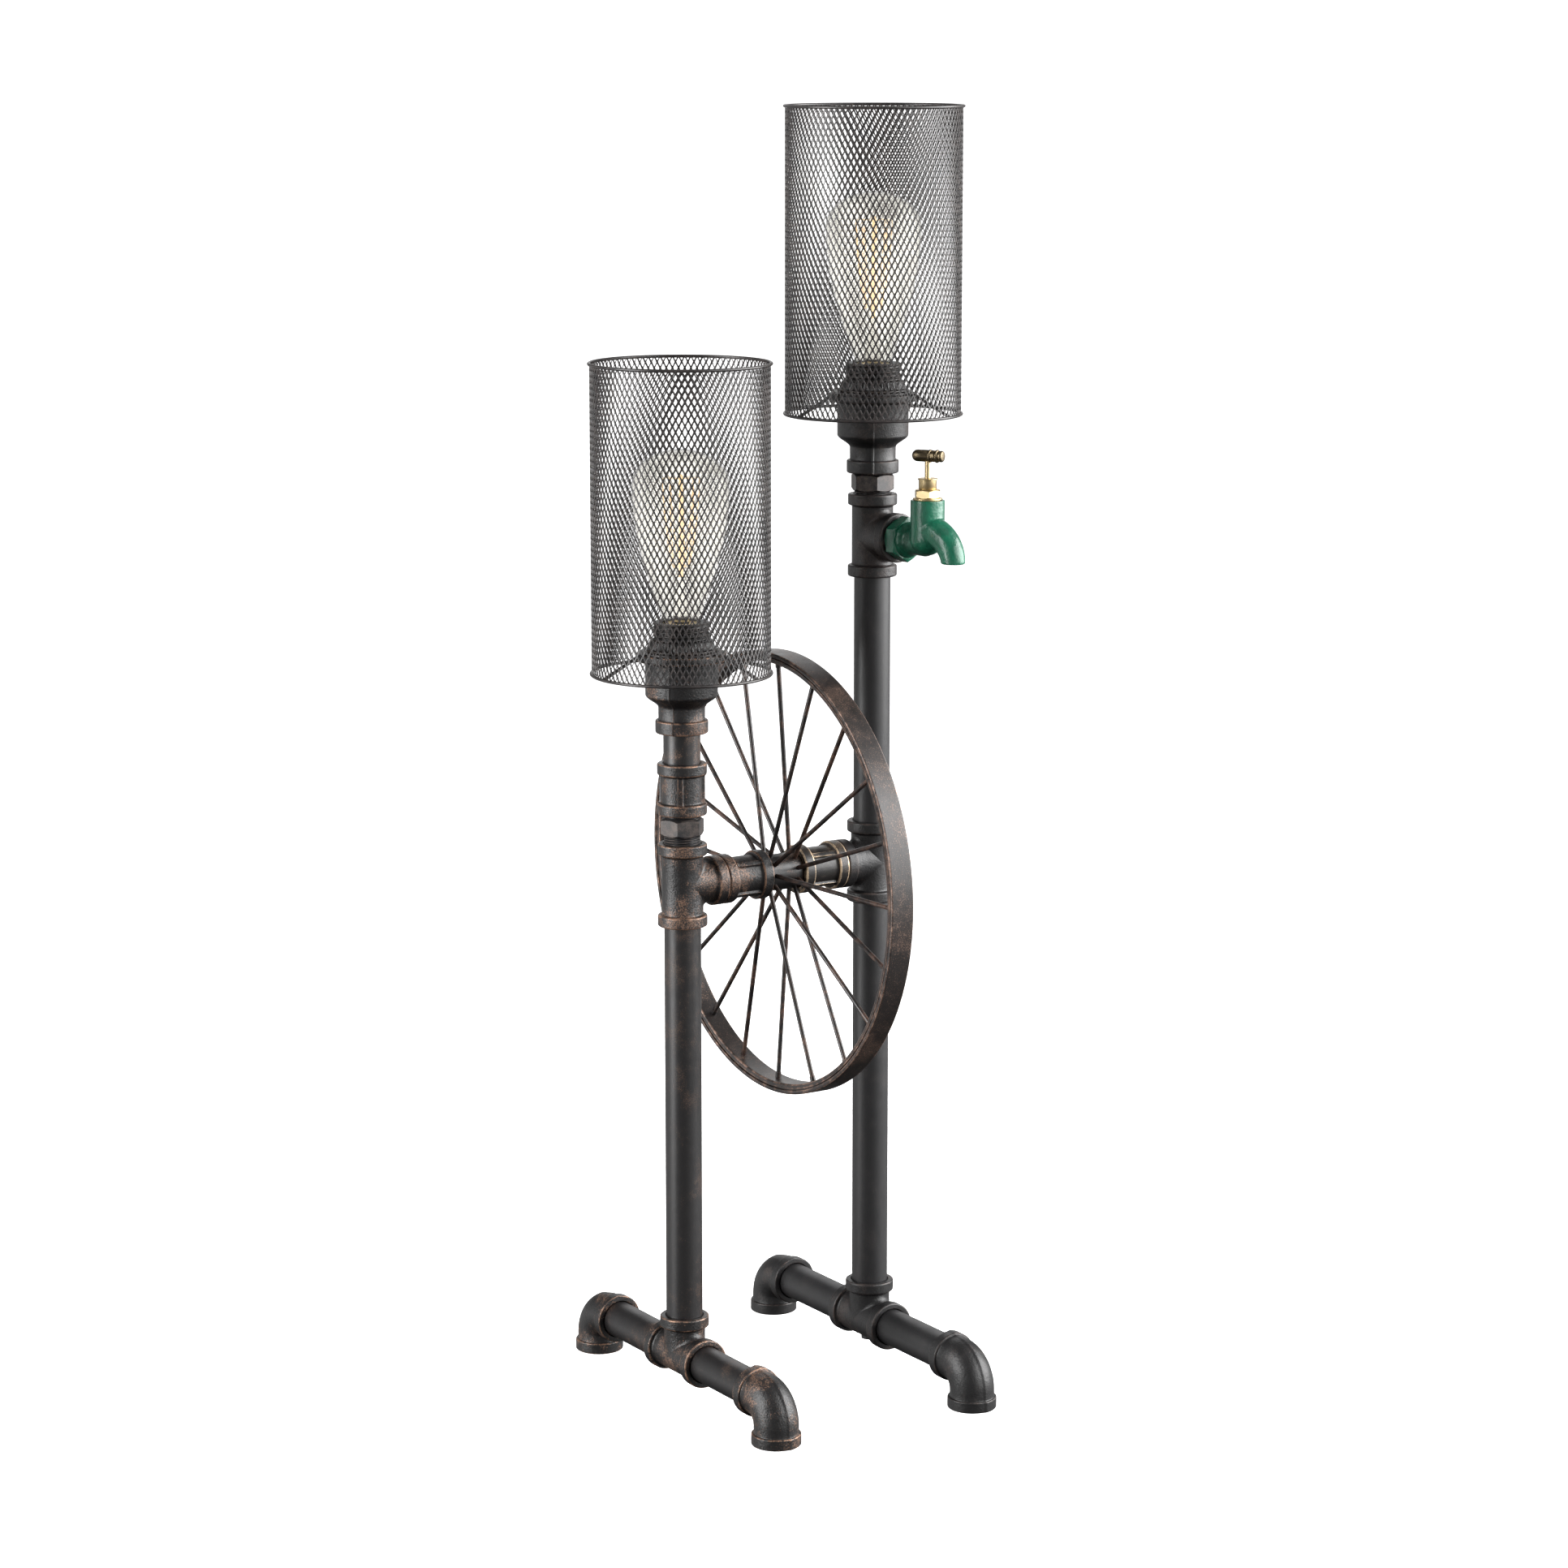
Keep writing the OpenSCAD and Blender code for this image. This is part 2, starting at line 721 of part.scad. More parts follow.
// Glass stem with the cage of straight filament strands between two rings of hooks
module bulb_filament() {
    stem_h = bulb_h * 0.86;
    low = bulb_h * 0.28;
    high = stem_h - 2;
    low_r = 12.5;
    high_r = 15;
    stem_r = 1;
    flare_r = 5.5;
    hook_r = 0.35;
    strand_r = 0.3;
    lean = atan2(high_r - low_r, high - low);
    strand_len = norm([high_r - low_r, high - low]);
    translate([0, 0, cap_top]) {
        rotate_extrude()
            polygon([
                [0, 0], [flare_r, 0], [flare_r / 2, low / 2], [stem_r, low], [stem_r, stem_h], [0, stem_h]
            ]);
        for (i = [0:filament_count - 1])
            rotate([0, 0, 360 / filament_count * i]) {
                for (hook = [[low, low_r], [high, high_r]])
                    translate([0, 0, hook[0]])
                        rotate([0, 90, 0])
                            cylinder(h = hook[1] + hook_r, r = hook_r);
                translate([low_r, 0, low])
                    rotate([0, lean, 0])
                        cylinder(h = strand_len, r = strand_r);
            }
    }
}

// Short and tall post heads share these pieces, placed by their bells
module at_front_bell() {
    translate([-post_x, 0, front_bell_z])
        children();
}

module at_back_bell() {
    translate([post_x, 0, back_bell_z])
        children();
}

// Foot of a post at x: an elbow and a nipple on each side of the base tee
module foot_elbow(x, reach, side) {
    translate([x, side * reach, foot_z])
        rotate([0, 0, side < 0 ? 0 : 180])
            elbow();
}

module foot_nipple(x, open_len, side) {
    translate([x, 0, foot_z])
        rotate([side < 0 ? 90 : -90, 0, 0])
            tube(pipe_r, bore_r, fit_reach - socket_depth, fit_reach + open_len + socket_depth);
}

module base_tee(x) {
    translate([x, 0, foot_z])
        rotate([0, -90, 90])
            tee();
}

// Upright pipe between two sockets, at x
module post_pipe(x, z0, open_len) {
    translate([x, 0, 0])
        tube(pipe_r, bore_r, z0 - socket_depth, z0 + open_len + socket_depth);
}

module front_elbow_near() { color("#3a2c26") foot_elbow(-post_x, front_reach, -1); }
module front_elbow_far() { color("#3a2c26") foot_elbow(-post_x, front_reach, 1); }
module front_foot_nipple_near() { color("#332b29") foot_nipple(-post_x, front_foot_len, -1); }
module front_foot_nipple_far() { color("#332b29") foot_nipple(-post_x, front_foot_len, 1); }
module front_base_tee() { color("#3a2c26") base_tee(-post_x); }
module front_post_pipe() { color("#332f2e") post_pipe(-post_x, foot_z + fit_reach, lower_post_len); }
module front_axle_tee() { color("#3a2c26") translate([-post_x, 0, axle_z]) tee(); }

module front_hex_nipple() {
    color("#2e2c2c")
        translate([-post_x, 0, 0])
            hex_nipple(front_hex_z, front_hex_lift, front_hex_top_lift, coupling_hold);
}

module front_coupling() {
    color("#3a2c26")
        translate([-post_x, 0, front_coupling_z + coupling_len / 2])
            coupling();
}

module front_neck_nipple() {
    color("#332f2e")
        translate([-post_x, 0, 0])
            tube(pipe_r, bore_r, front_bell_z - neck_len - coupling_hold, front_bell_z + bell_socket);
}

module front_bell() { color("#3a2c26") at_front_bell() bell(front_seam_turn); }
module front_lampholder() { color("#26211f") at_front_bell() lampholder(); }
module front_contacts() { color("#b08d3c") at_front_bell() contacts(); }
module front_ring_nut() { color("#26211f") at_front_bell() ring_nut(); }
module front_shade_carrier() { color("#332f2e") at_front_bell() shade_carrier(carrier_turn); }
module front_shade_mesh() { color("#3c3838") at_front_bell() shade_mesh(); }
module front_shade_top_wire() { color("#332f2e") at_front_bell() shade_top_wire(); }
module front_bulb_glass() { color("#e8e0cc", 0.4) at_front_bell() bulb_glass(); }
module front_bulb_cap() { color("#b08d3c") at_front_bell() bulb_cap(); }
module front_bulb_filament() { color("#d89a4a") at_front_bell() bulb_filament(); }

module back_elbow_near() { color("#2f2a29") foot_elbow(post_x, back_reach, -1); }
module back_elbow_far() { color("#2f2a29") foot_elbow(post_x, back_reach, 1); }
module back_foot_nipple_near() { color("#302e2e") foot_nipple(post_x, back_foot_len, -1); }
module back_foot_nipple_far() { color("#302e2e") foot_nipple(post_x, back_foot_len, 1); }

// The tee of the tall post's foot has a hole underneath for the cord
module back_base_tee() {
    color("#2f2a29")
        difference() {
            base_tee(post_x);
            translate([post_x, 0, foot_z - 2 * band_r])
                cylinder(h = 2 * band_r, r = cord_bush_r + thread_gap);
            translate([post_x, 0, foot_z - 2 * band_r])
                cylinder(h = 2 * band_r - cord_seat, r = cord_flange_r + thread_gap);
        }
}

module cord_bush() {
    low = foot_z - cord_seat - cord_flange_t;
    color("#1c1b1b")
        translate([post_x, 0, 0])
            difference() {
                union() {
                    translate([0, 0, low])
                        cylinder(h = cord_flange_t, r = cord_flange_r);
                    translate([0, 0, low])
                        cylinder(h = cord_flange_t + cord_seat - bore_r + cord_bush_in, r = cord_bush_r);
                }
                translate([0, 0, low - CUT])
                    cylinder(h = 2 * band_r, r = cord_hole_d / 2);
            }
}

module back_lower_pipe() { color("#302e2e") post_pipe(post_x, foot_z + fit_reach, lower_post_len); }

module back_axle_tee() {
    color("#2f2a29")
        translate([post_x, 0, axle_z])
            rotate([0, 0, 180])
                tee();
}

module back_upper_pipe() { color("#302e2e") post_pipe(post_x, axle_z + fit_reach, upper_post_len); }

module tap_tee() {
    color("#2f2a29")
        at_tap()
            tee();
}

module back_hex_nipple() {
    color("#2e2c2c")
        translate([post_x, 0, 0])
            hex_nipple(back_hex_z, back_hex_lift, back_hex_top_lift, bell_socket);
}

module back_bell() { color("#2f2a29") at_back_bell() bell(back_seam_turn); }
module back_lampholder() { color("#26211f") at_back_bell() lampholder(); }
module back_contacts() { color("#b08d3c") at_back_bell() contacts(); }
module back_ring_nut() { color("#26211f") at_back_bell() ring_nut(); }
module back_shade_carrier() { color("#332f2e") at_back_bell() shade_carrier(carrier_turn); }
module back_shade_mesh() { color("#3c3838") at_back_bell() shade_mesh(); }
module back_shade_top_wire() { color("#332f2e") at_back_bell() shade_top_wire(); }
module back_bulb_glass() { color("#e8e0cc", 0.4) at_back_bell() bulb_glass(); }
module back_bulb_cap() { color("#b08d3c") at_back_bell() bulb_cap(); }
module back_bulb_filament() { color("#d89a4a") at_back_bell() bulb_filament(); }

// Lays its children along the axle, from the middle of the hub towards the back (1) or front (-1)
module along_axle(side) {
    translate([0, 0, axle_z])
        rotate([0, side * 90, 0])
            children();
}

module axle_close_nipples() {
    color("#2e2c2c")
        for (side = [-1, 1])
            along_axle(side)
                tube(pipe_r, bore_r, hub_half + bush_len + CUT, axle_tee_face + socket_depth);
}

module front_axle_coupling() {
    color("#3a2c26")
        along_axle(-1)
            translate([0, 0, hub_half + coupling_len / 2])
                coupling();
}

module back_axle_coupling() {
    color("#3f342c")
        along_axle(1)
            translate([0, 0, hub_half + coupling_len / 2])
                coupling();
}

module axle_bushes() {
    color("#2e2c2c")
        for (side = [-1, 1])
            along_axle(side)
                tube(pipe_r, axle_r + thread_gap, hub_half, hub_half + bush_len);
}

module axle_tube() {
    reach = hub_half + bush_len;
    color("#4a4a4a")
        along_axle(1)
            tube(axle_r, axle_r - axle_wall, -reach, reach);
}

module wheel_hub() {
    reach = hub_half - hub_end_gap;
    color("#3a2c26")
        along_axle(1)
            tube(hub_r, axle_r + journal_gap, -reach, reach);
}

// Straight spokes, leaning in turn from each end of the hub to the middle of the rim
module wheel_spokes() {
    reach = rim_in - weld_gap;
    lean = atan2(spoke_spread, rim_in - hub_r);
    color("#3d2e27")
        along_axle(1)
            for (i = [0:spoke_count - 1])
                rotate([0, 0, 90 + 360 / spoke_count * i])
                    intersection() {
                        translate([rim_in, 0, 0])
                            rotate([0, -90 + (i % 2 == 0 ? -lean : lean), 0])
                                translate([0, 0, -2 * CUT])
                                    cylinder(h = norm([rim_in, spoke_spread]), d = spoke_d);
                        tube(reach, hub_r + weld_gap, -rim_w, rim_w);
                        translate([0, -spoke_d, -rim_w])
                            cube([wheel_r, 2 * spoke_d, 2 * rim_w]);
                    }
}

// Outer band, groove along each side, and inner band
module wheel_rim() {
    half = rim_w / 2;
    ease = min(0.8, tyre_t / 3);
    groove_r = wheel_r - tyre_t;
    inner_top = groove_r - rim_groove;
    side = [
        [rim_in, half - rim_step - rim_slope], [rim_in + rim_slope, half - rim_step],
        [inner_top, half - rim_step], [inner_top, half - rim_step - rim_groove],
        [groove_r, half - rim_step - rim_groove], [groove_r, half - ease / 2], [groove_r + ease, half],
        [wheel_r - ease, half], [wheel_r, half - ease]
    ];
    color("#3a2c26")
        along_axle(1)
            rotate_extrude($fn = 128)
                polygon(concat(side, [for (i = [len(side) - 1:-1:0]) [side[i][0], -side[i][1]]]));
}

// Lays its children along the tap: +X away from the post, Z up, on the axis of the inlet
module at_tap() {
    translate([post_x, 0, tap_z])
        rotate([0, 0, tap_turn - 90])
            children();
}

module at_valve() {
    at_tap()
        translate([valve_x, 0, 0])
            children();
}

// Centre line of the spout: a quarter ellipse from the valve to the outlet, at t from 0 to 1
function spout_at(t) = [spout_reach * sin(90 * t), 0, (spout_rise + spout_drop) * cos(90 * t) - spout_drop];
function spout_way(t) = [spout_reach * cos(90 * t), 0, -(spout_rise + spout_drop) * sin(90 * t)];
function spout_ring(t) =
    let (
        c = spout_at(t),
        w = spout_way(t) / norm(spout_way(t)),
        up = [-w[2], 0, w[0]],
        r = (spout_root_d + (spout_d - spout_root_d) * t) / 2
    )
    [
        for (i = [0:SPOUT_SIDES - 1]) let (a = 360 * i / SPOUT_SIDES)
            c + r * (cos(a) * [0, 1, 0] + sin(a) * up)
    ];

// Tapered spout, swept along its centre line
module spout_sweep() {
    rings = [for (k = [0:SPOUT_RINGS]) spout_ring(k / SPOUT_RINGS)];
    n = SPOUT_SIDES;
    points = concat([for (ring = rings) for (p = ring) p], [spout_at(0), spout_at(1)]);
    first = n * (SPOUT_RINGS + 1);
    polyhedron(
        points,
        concat(
            [for (k = [0:SPOUT_RINGS - 1]) for (i = [0:n - 1]) let (j = (i + 1) % n)
                [k * n + i, (k + 1) * n + j, k * n + j]],
            [for (k = [0:SPOUT_RINGS - 1]) for (i = [0:n - 1]) let (j = (i + 1) % n)
                [k * n + i, (k + 1) * n + i, (k + 1) * n + j]],
            [for (i = [0:n - 1]) [first, i, (i + 1) % n]],
            [for (i = [0:n - 1]) [first + 1, SPOUT_RINGS * n + (i + 1) % n, SPOUT_RINGS * n + i]]
        )
    );
}

// Cast body of the bib tap: threaded inlet, hexagon, barrel, valve collar and spout
module tap_body() {
    inlet = fit_reach - socket_depth;
    color("#1f8159")
        at_tap()
            difference() {
                union() {
                    translate([inlet, 0, 0])
                        rotate([0, 90, 0])
                            cylinder(h = tap_hex_x - inlet + CUT, r = pipe_r);
                    rotate([0, 90, 0])
                        hexagon(tap_hex_af, tap_hex_w, tap_hex_x);
                    translate([tap_hex_end - CUT, 0, 0])
                        rotate([0, 90, 0])
                            cylinder(h = valve_x - tap_hex_end + CUT, d = barrel_d);
                    translate([valve_x, 0, 0]) {
                        translate([0, 0, ball_lift])
                            sphere(d = collar_d);
                        cylinder(h = collar_top, d = collar_d - collar_ease);
                        spout_sweep();
                        translate([spout_reach, 0, -spout_drop - lip_h / 2])
                            cylinder(h = lip_h, r = spout_d / 2 + lip_rise);
                    }
                }
                translate([inlet - CUT, 0, 0])
                    rotate([0, 90, 0])
                        cylinder(h = valve_x - inlet + CUT, r = tap_bore_r);
                translate([valve_x, 0, valve_floor])
                    cylinder(h = collar_top - valve_floor + CUT, r = valve_bore_r);
                translate([valve_x + spout_reach, 0, -spout_drop - lip_h])
                    cylinder(h = lip_h + mouth_depth, d = spout_bore);
            }
}

// Brass bonnet: thread, flange and hexagon, bored for the spindle
module tap_bonnet() {
    color("#c9a85a")
        at_valve()
            difference() {
                union() {
                    translate([0, 0, collar_top - bonnet_thread_len])
                        cylinder(h = bonnet_thread_len + flange_t, r = bonnet_thread_r);
                    translate([0, 0, collar_top])
                        cylinder(h = flange_t, d = flange_d);
                    hexagon(bonnet_af, bonnet_h, flange_top);
                }
                translate([0, 0, collar_top - bonnet_thread_len - CUT])
                    cylinder(h = bonnet_top, r = spindle_r + journal_gap);
            }
}

module tap_gland_nut() {
    color("#c9a85a")
        at_valve()
            difference() {
                union() {
                    translate([0, 0, bonnet_top])
                        cylinder(h = gland_h, d = gland_d);
                    translate([0, 0, gland_top - gland_rim_t])
                        cylinder(h = gland_rim_t, r = gland_d / 2 + gland_rim);
                }
                translate([0, 0, bonnet_top - CUT])
                    cylinder(h = gland_h + 2 * CUT, r = spindle_r + journal_gap);
            }
}

module tap_spindle() {
    color("#c9a85a")
        at_valve()
            translate([0, 0, spindle_foot])
                cylinder(h = bar_z - bar_d / 2 + bar_hole - spindle_foot, r = spindle_r);
}

// Cross bar with a round end and a flat end, and turned grooves near the flat end
module tap_handle() {
    half = bar_len / 2;
    r = bar_d / 2;
    in_r = r - bar_groove;
    low = half - r - bar_land - 2 * bar_groove_w;
    high = half - r;
    color("#8f7a45")
        at_valve()
            translate([0, 0, bar_z])
                difference() {
                    rotate([0, 90, bar_turn])
                        rotate_extrude()
                            polygon(concat(
                                [[0, -half]],
                                arc([0, r - half], r, -75, 0, 6),
                                [
                                    for (z = [low, high]) each [
                                        [r, z - bar_groove], [in_r, z], [in_r, z + bar_groove_w],
                                        [r, z + bar_groove_w + bar_groove]
                                    ]
                                ],
                                [[r, half - bar_ease], [r - bar_ease, half], [0, half]]
                            ));
                    translate([0, 0, -r - CUT])
                        cylinder(h = bar_hole + CUT, r = spindle_r + thread_gap);
                }
}

// Rotary switch under the bonnet, turned by the foot of the spindle
module rotary_switch() {
    color("#1c1b1b")
        at_valve()
            difference() {
                translate([0, 0, switch_low])
                    cylinder(h = switch_h, d = switch_d);
                translate([0, 0, spindle_foot - 0.3])
                    cylinder(h = switch_h, r = spindle_r + journal_gap);
            }
}

// A wire through the points of its route, with a slight bead at each bend
module wire(points) {
    r = wire_d / 2;
    for (i = [0:len(points) - 2]) {
        run = points[i + 1] - points[i];
        translate(points[i])
            rotate([0, acos(run[2] / norm(run)), atan2(run[1], run[0])])
                cylinder(h = norm(run), r = r);
    }
    for (i = [1:len(points) - 2])
        translate(points[i])
            sphere(r + wire_bead);
}

// A point of the tap's own frame, in the frame of the lamp
function in_tap(p) =
    let (a = tap_turn - 90)
    [post_x + p[0] * cos(a) - p[1] * sin(a), p[0] * sin(a) + p[1] * cos(a), tap_z + p[2]];

module supply_wire() {
    color("#1c1b1b")
        wire([
            [post_x, 0, cord_wire_z],
            [post_x + wire_side, 0, foot_z + bore_r],
            [post_x + wire_side, 0, tap_z - wire_turn],
            in_tap([wire_side - wire_sink, wire_off, wire_sink]),
            in_tap([switch_x, wire_off, wire_sink]),
            in_tap([switch_x, wire_off, wire_end])
        ]);
}

module back_lamp_wire() {
    color("#1c1b1b")
        wire([
            in_tap([back_switch_x, 0, wire_end]),
            in_tap([back_switch_x, 0, back_wire_z]),
            in_tap([wire_side, 0, back_wire_z]),
            [post_x - wire_side, 0, tap_z + wire_turn],
            [post_x - wire_side, 0, back_bell_z + holder_wire_z]
        ]);
}

module front_lamp_wire() {
    color("#1c1b1b")
        wire([
            in_tap([switch_x, -wire_off, wire_end]),
            in_tap([switch_x, -wire_off, wire_sink]),
            in_tap([wire_side + 1, -wire_off, wire_sink]),
            [post_x - wire_side, 0, tap_z - wire_turn],
            [post_x - wire_side, 0, axle_z],
            [-post_x, 0, axle_z],
            [-post_x, 0, front_bell_z + holder_wire_z]
        ]);
}

front_elbow_near();
front_elbow_far();
front_foot_nipple_near();
front_foot_nipple_far();
front_base_tee();
front_post_pipe();
front_axle_tee();
front_hex_nipple();
front_coupling();
front_neck_nipple();
front_bell();
front_lampholder();
front_contacts();
front_ring_nut();
front_shade_carrier();
front_shade_mesh();
front_shade_top_wire();
front_bulb_glass();
front_bulb_cap();
front_bulb_filament();
back_elbow_near();
back_elbow_far();
back_foot_nipple_near();
back_foot_nipple_far();
back_base_tee();
back_lower_pipe();
back_axle_tee();
back_upper_pipe();
tap_tee();
back_hex_nipple();
back_bell();
back_lampholder();
back_contacts();
back_ring_nut();
back_shade_carrier();
back_shade_mesh();
back_shade_top_wire();
back_bulb_glass();
back_bulb_cap();
back_bulb_filament();
axle_close_nipples();
front_axle_coupling();
back_axle_coupling();
axle_bushes();
axle_tube();
wheel_hub();
wheel_spokes();
wheel_rim();
tap_body();
tap_bonnet();
tap_gland_nut();
tap_spindle();
tap_handle();
rotary_switch();
cord_bush();
supply_wire();
front_lamp_wire();
back_lamp_wire();
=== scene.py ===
# %% [markdown]
# A two-light pipe lamp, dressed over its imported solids. The real lamp is plumbing: malleable iron
# fittings screwed on pipe, a spoked wheel on the axle between two posts, a bib tap, and two mesh
# cylinders over screw-in bulbs. Everything is worked out in millimetres and put in the mesh in metres.

# %% Load the frame
import bmesh
import bpy
import numpy as np
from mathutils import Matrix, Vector


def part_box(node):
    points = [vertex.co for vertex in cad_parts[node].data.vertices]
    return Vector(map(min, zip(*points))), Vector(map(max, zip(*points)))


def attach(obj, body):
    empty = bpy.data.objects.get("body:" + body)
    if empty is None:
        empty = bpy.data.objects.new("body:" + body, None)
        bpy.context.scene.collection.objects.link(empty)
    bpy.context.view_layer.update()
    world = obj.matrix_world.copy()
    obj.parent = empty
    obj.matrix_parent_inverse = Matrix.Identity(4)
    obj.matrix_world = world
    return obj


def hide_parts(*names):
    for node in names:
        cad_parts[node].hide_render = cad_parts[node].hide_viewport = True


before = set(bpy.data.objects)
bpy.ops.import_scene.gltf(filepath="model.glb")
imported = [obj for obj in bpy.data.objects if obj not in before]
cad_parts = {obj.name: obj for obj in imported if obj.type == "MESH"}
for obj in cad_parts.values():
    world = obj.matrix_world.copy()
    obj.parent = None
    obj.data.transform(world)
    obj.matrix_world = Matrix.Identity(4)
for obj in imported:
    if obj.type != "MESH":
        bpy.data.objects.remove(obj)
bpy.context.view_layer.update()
MM = 0.001
scene = bpy.context.scene

# %% [markdown]
# The camera stands where the photo was taken from: about 2.9 m away, a little over the top of the
# lamp, and 32 degrees round from the line of the feet. It is tilted down and not shifted, so that
# other views of the same scene stay framed.

# %% Camera
def add_object(name, data):
    """An object for data, linked into the scene."""
    made = bpy.data.objects.new(name, data)
    scene.collection.objects.link(made)
    return made


def aim(thing, place, way):
    """Puts a camera or a light at place and points it along way."""
    thing.location = place
    thing.rotation_mode = "QUATERNION"
    thing.rotation_quaternion = way.to_track_quat("-Z", "Y")


FOCAL_LENGTH, PHOTO_WIDTH = 5000.19, 1932
yaw, pitch = 0.565366, -0.185943
look = Vector((np.sin(yaw) * np.cos(pitch), np.cos(yaw) * np.cos(pitch), np.sin(pitch)))
camera_data = bpy.data.cameras.new("camera")
camera_data.lens = FOCAL_LENGTH / PHOTO_WIDTH * camera_data.sensor_width
camera_data.clip_end = 100
camera = add_object("camera", camera_data)
aim(camera, (-1.5546, -2.4583, 0.9974), look)
scene.camera = camera
print("lens", round(camera_data.lens, 2))

# %% [markdown]
# Dark glossy metal shows what it mirrors, so the light comes from large soft boxes. Tall ones stand
# left and right of the camera: each pipe gets a pale stripe along both sides and stays dark between.
# Weaker ones fill in from the right front, behind and above. None of them shows through the bulbs.

# %% Soft boxes
def across(angle, distance, height):
    """A place round the lamp: angle in degrees from the camera, to the right as the camera sees it."""
    a = np.arctan2(camera.location.y, camera.location.x) + np.radians(angle)
    return (distance * np.cos(a), distance * np.sin(a), height)


# Name, place, width and height in metres, watts, and the height on the lamp that it faces
for name, place, size, watts, facing in (
    ("left_soft_box", across(-66, 2.3, 0.9), (1.2, 2.4), 96, 0.5),
    ("right_front_soft_box", across(48, 2.5, 1.3), (1.1, 2.1), 31, 0.6),
    ("right_soft_box", across(93, 2.4, 1.3), (2.5, 2.1), 178, 0.6),
    ("back_soft_box", across(180, 2.6, 1.3), (1.6, 2.0), 12, 0.6),
    ("top_soft_box", (0.2, -0.3, 2.8), (1.6, 1.6), 5, 0.4),
):
    data = bpy.data.lights.new(name, "AREA")
    data.shape = "RECTANGLE"
    data.size, data.size_y = size
    data.energy = watts
    soft_box = add_object(name, data)
    aim(soft_box, place, Vector((0, 0, facing)) - Vector(place))
    soft_box.visible_camera = soft_box.visible_transmission = False
print("soft boxes", len(bpy.data.lights))

# %% [markdown]
# Every look is a small tree of shader nodes. Adding and joining them one by one is wordy, so a helper
# keeps the tree and offers the usual steps: noise, sums, eased ramps, mixed colours and bumps.

# %% Nodes
class Nodes:
    """The nodes of a material or a world, with short ways to add to them."""

    def __init__(self, owner, shader="Principled BSDF"):
        owner.use_nodes = True
        self.owner, self.tree = owner, owner.node_tree
        self.shader = self.tree.nodes[shader]
        self.coordinates = self.add("ShaderNodeTexCoord").outputs

    def feed(self, node, name, source):
        """Joins a socket to an input, or sets the input to a value."""
        if hasattr(source, "is_output"):
            self.tree.links.new(source, node.inputs[name])
        else:
            node.inputs[name].default_value = source

    def add(self, kind, inputs=(), **settings):
        """A new node with its settings and inputs."""
        made = self.tree.nodes.new(kind)
        for key, value in settings.items():
            setattr(made, key, value)
        for name, source in dict(inputs).items():
            self.feed(made, name, source)
        return made

    def shade(self, **inputs):
        """Feeds or sets inputs of the shader; an underscore in a name stands for a space."""
        for name, source in inputs.items():
            self.feed(self.shader, name.replace("_", " "), source)

    def attribute(self, name):
        """A value stored on the mesh."""
        return self.add("ShaderNodeAttribute", attribute_name=name).outputs["Fac"]

    def noise(self, scale, detail=3.0, rough=0.55):
        """Fractal noise on object coordinates; scale is in patches a metre."""
        inputs = {"Vector": self.coordinates["Object"], "Scale": scale, "Detail": detail, "Roughness": rough}
        return self.add("ShaderNodeTexNoise", inputs).outputs["Fac"]

    def math(self, kind, a, b=0.0, c=0.0):
        """One sum on up to three values."""
        return self.add("ShaderNodeMath", {0: a, 1: b, 2: c}, operation=kind).outputs[0]

    def ramp(self, value, low, high):
        """0 below low, 1 above high, eased between."""
        inputs = {"Value": value, "From Min": low, "From Max": high}
        return self.add("ShaderNodeMapRange", inputs, interpolation_type="SMOOTHSTEP").outputs["Result"]

    def mix(self, factor, a, b):
        """Mixes two colours, each a socket or red, green and blue."""
        a, b = (c + (1,) if isinstance(c, tuple) else c for c in (a, b))
        return self.add("ShaderNodeMix", {0: factor, 6: a, 7: b}, data_type="RGBA").outputs[2]

    def bump(self, height, distance, strength=1.0):
        """Normals bent by a height; distance is in millimetres."""
        inputs = {"Height": height, "Distance": distance * MM, "Strength": strength}
        return self.add("ShaderNodeBump", inputs).outputs["Normal"]


paper = Nodes(bpy.data.materials.new("pale_floor"))
paper.shade(Base_Color=(0.9, 0.9, 0.9, 1), Roughness=0.8, Emission_Color=(1, 1, 1, 1), Emission_Strength=0.95)
print("materials", len(bpy.data.materials))

# %% [markdown]
# The floor is a wide round pale sheet that curves up all round, so that the lamp can be looked at from
# any side. Mirrored and scattered rays pass it by, because a bright floor close to the feet would turn
# the black lacquer grey.

# %% Floor
def angles(sides):
    """Angles of this many points round a full turn."""
    return np.linspace(0, 2 * np.pi, sides, endpoint=False)


def polar(r, a, z):
    """Points at the distance r from the axis, the angle a round it and the height z."""
    return np.stack(np.broadcast_arrays(r * np.cos(a), r * np.sin(a), z), -1)


def grid_faces(rows, columns, close_along=True):
    """Four-sided faces of a grid of points counted row by row. Each row closes to a ring, and the last
    row may close to the first."""
    i = np.arange(rows if close_along else rows - 1)[:, None]
    j = np.arange(columns)
    here, above, j2 = i * columns, (i + 1) % rows * columns, (j + 1) % columns
    return np.stack([here + j, above + j, above + j2, here + j2], -1).reshape(-1, 4)


def new_mesh(name, V, F):
    """A mesh from vertices in metres and faces."""
    mesh = bpy.data.meshes.new(name)
    mesh.from_pydata(V, [], F)
    return mesh


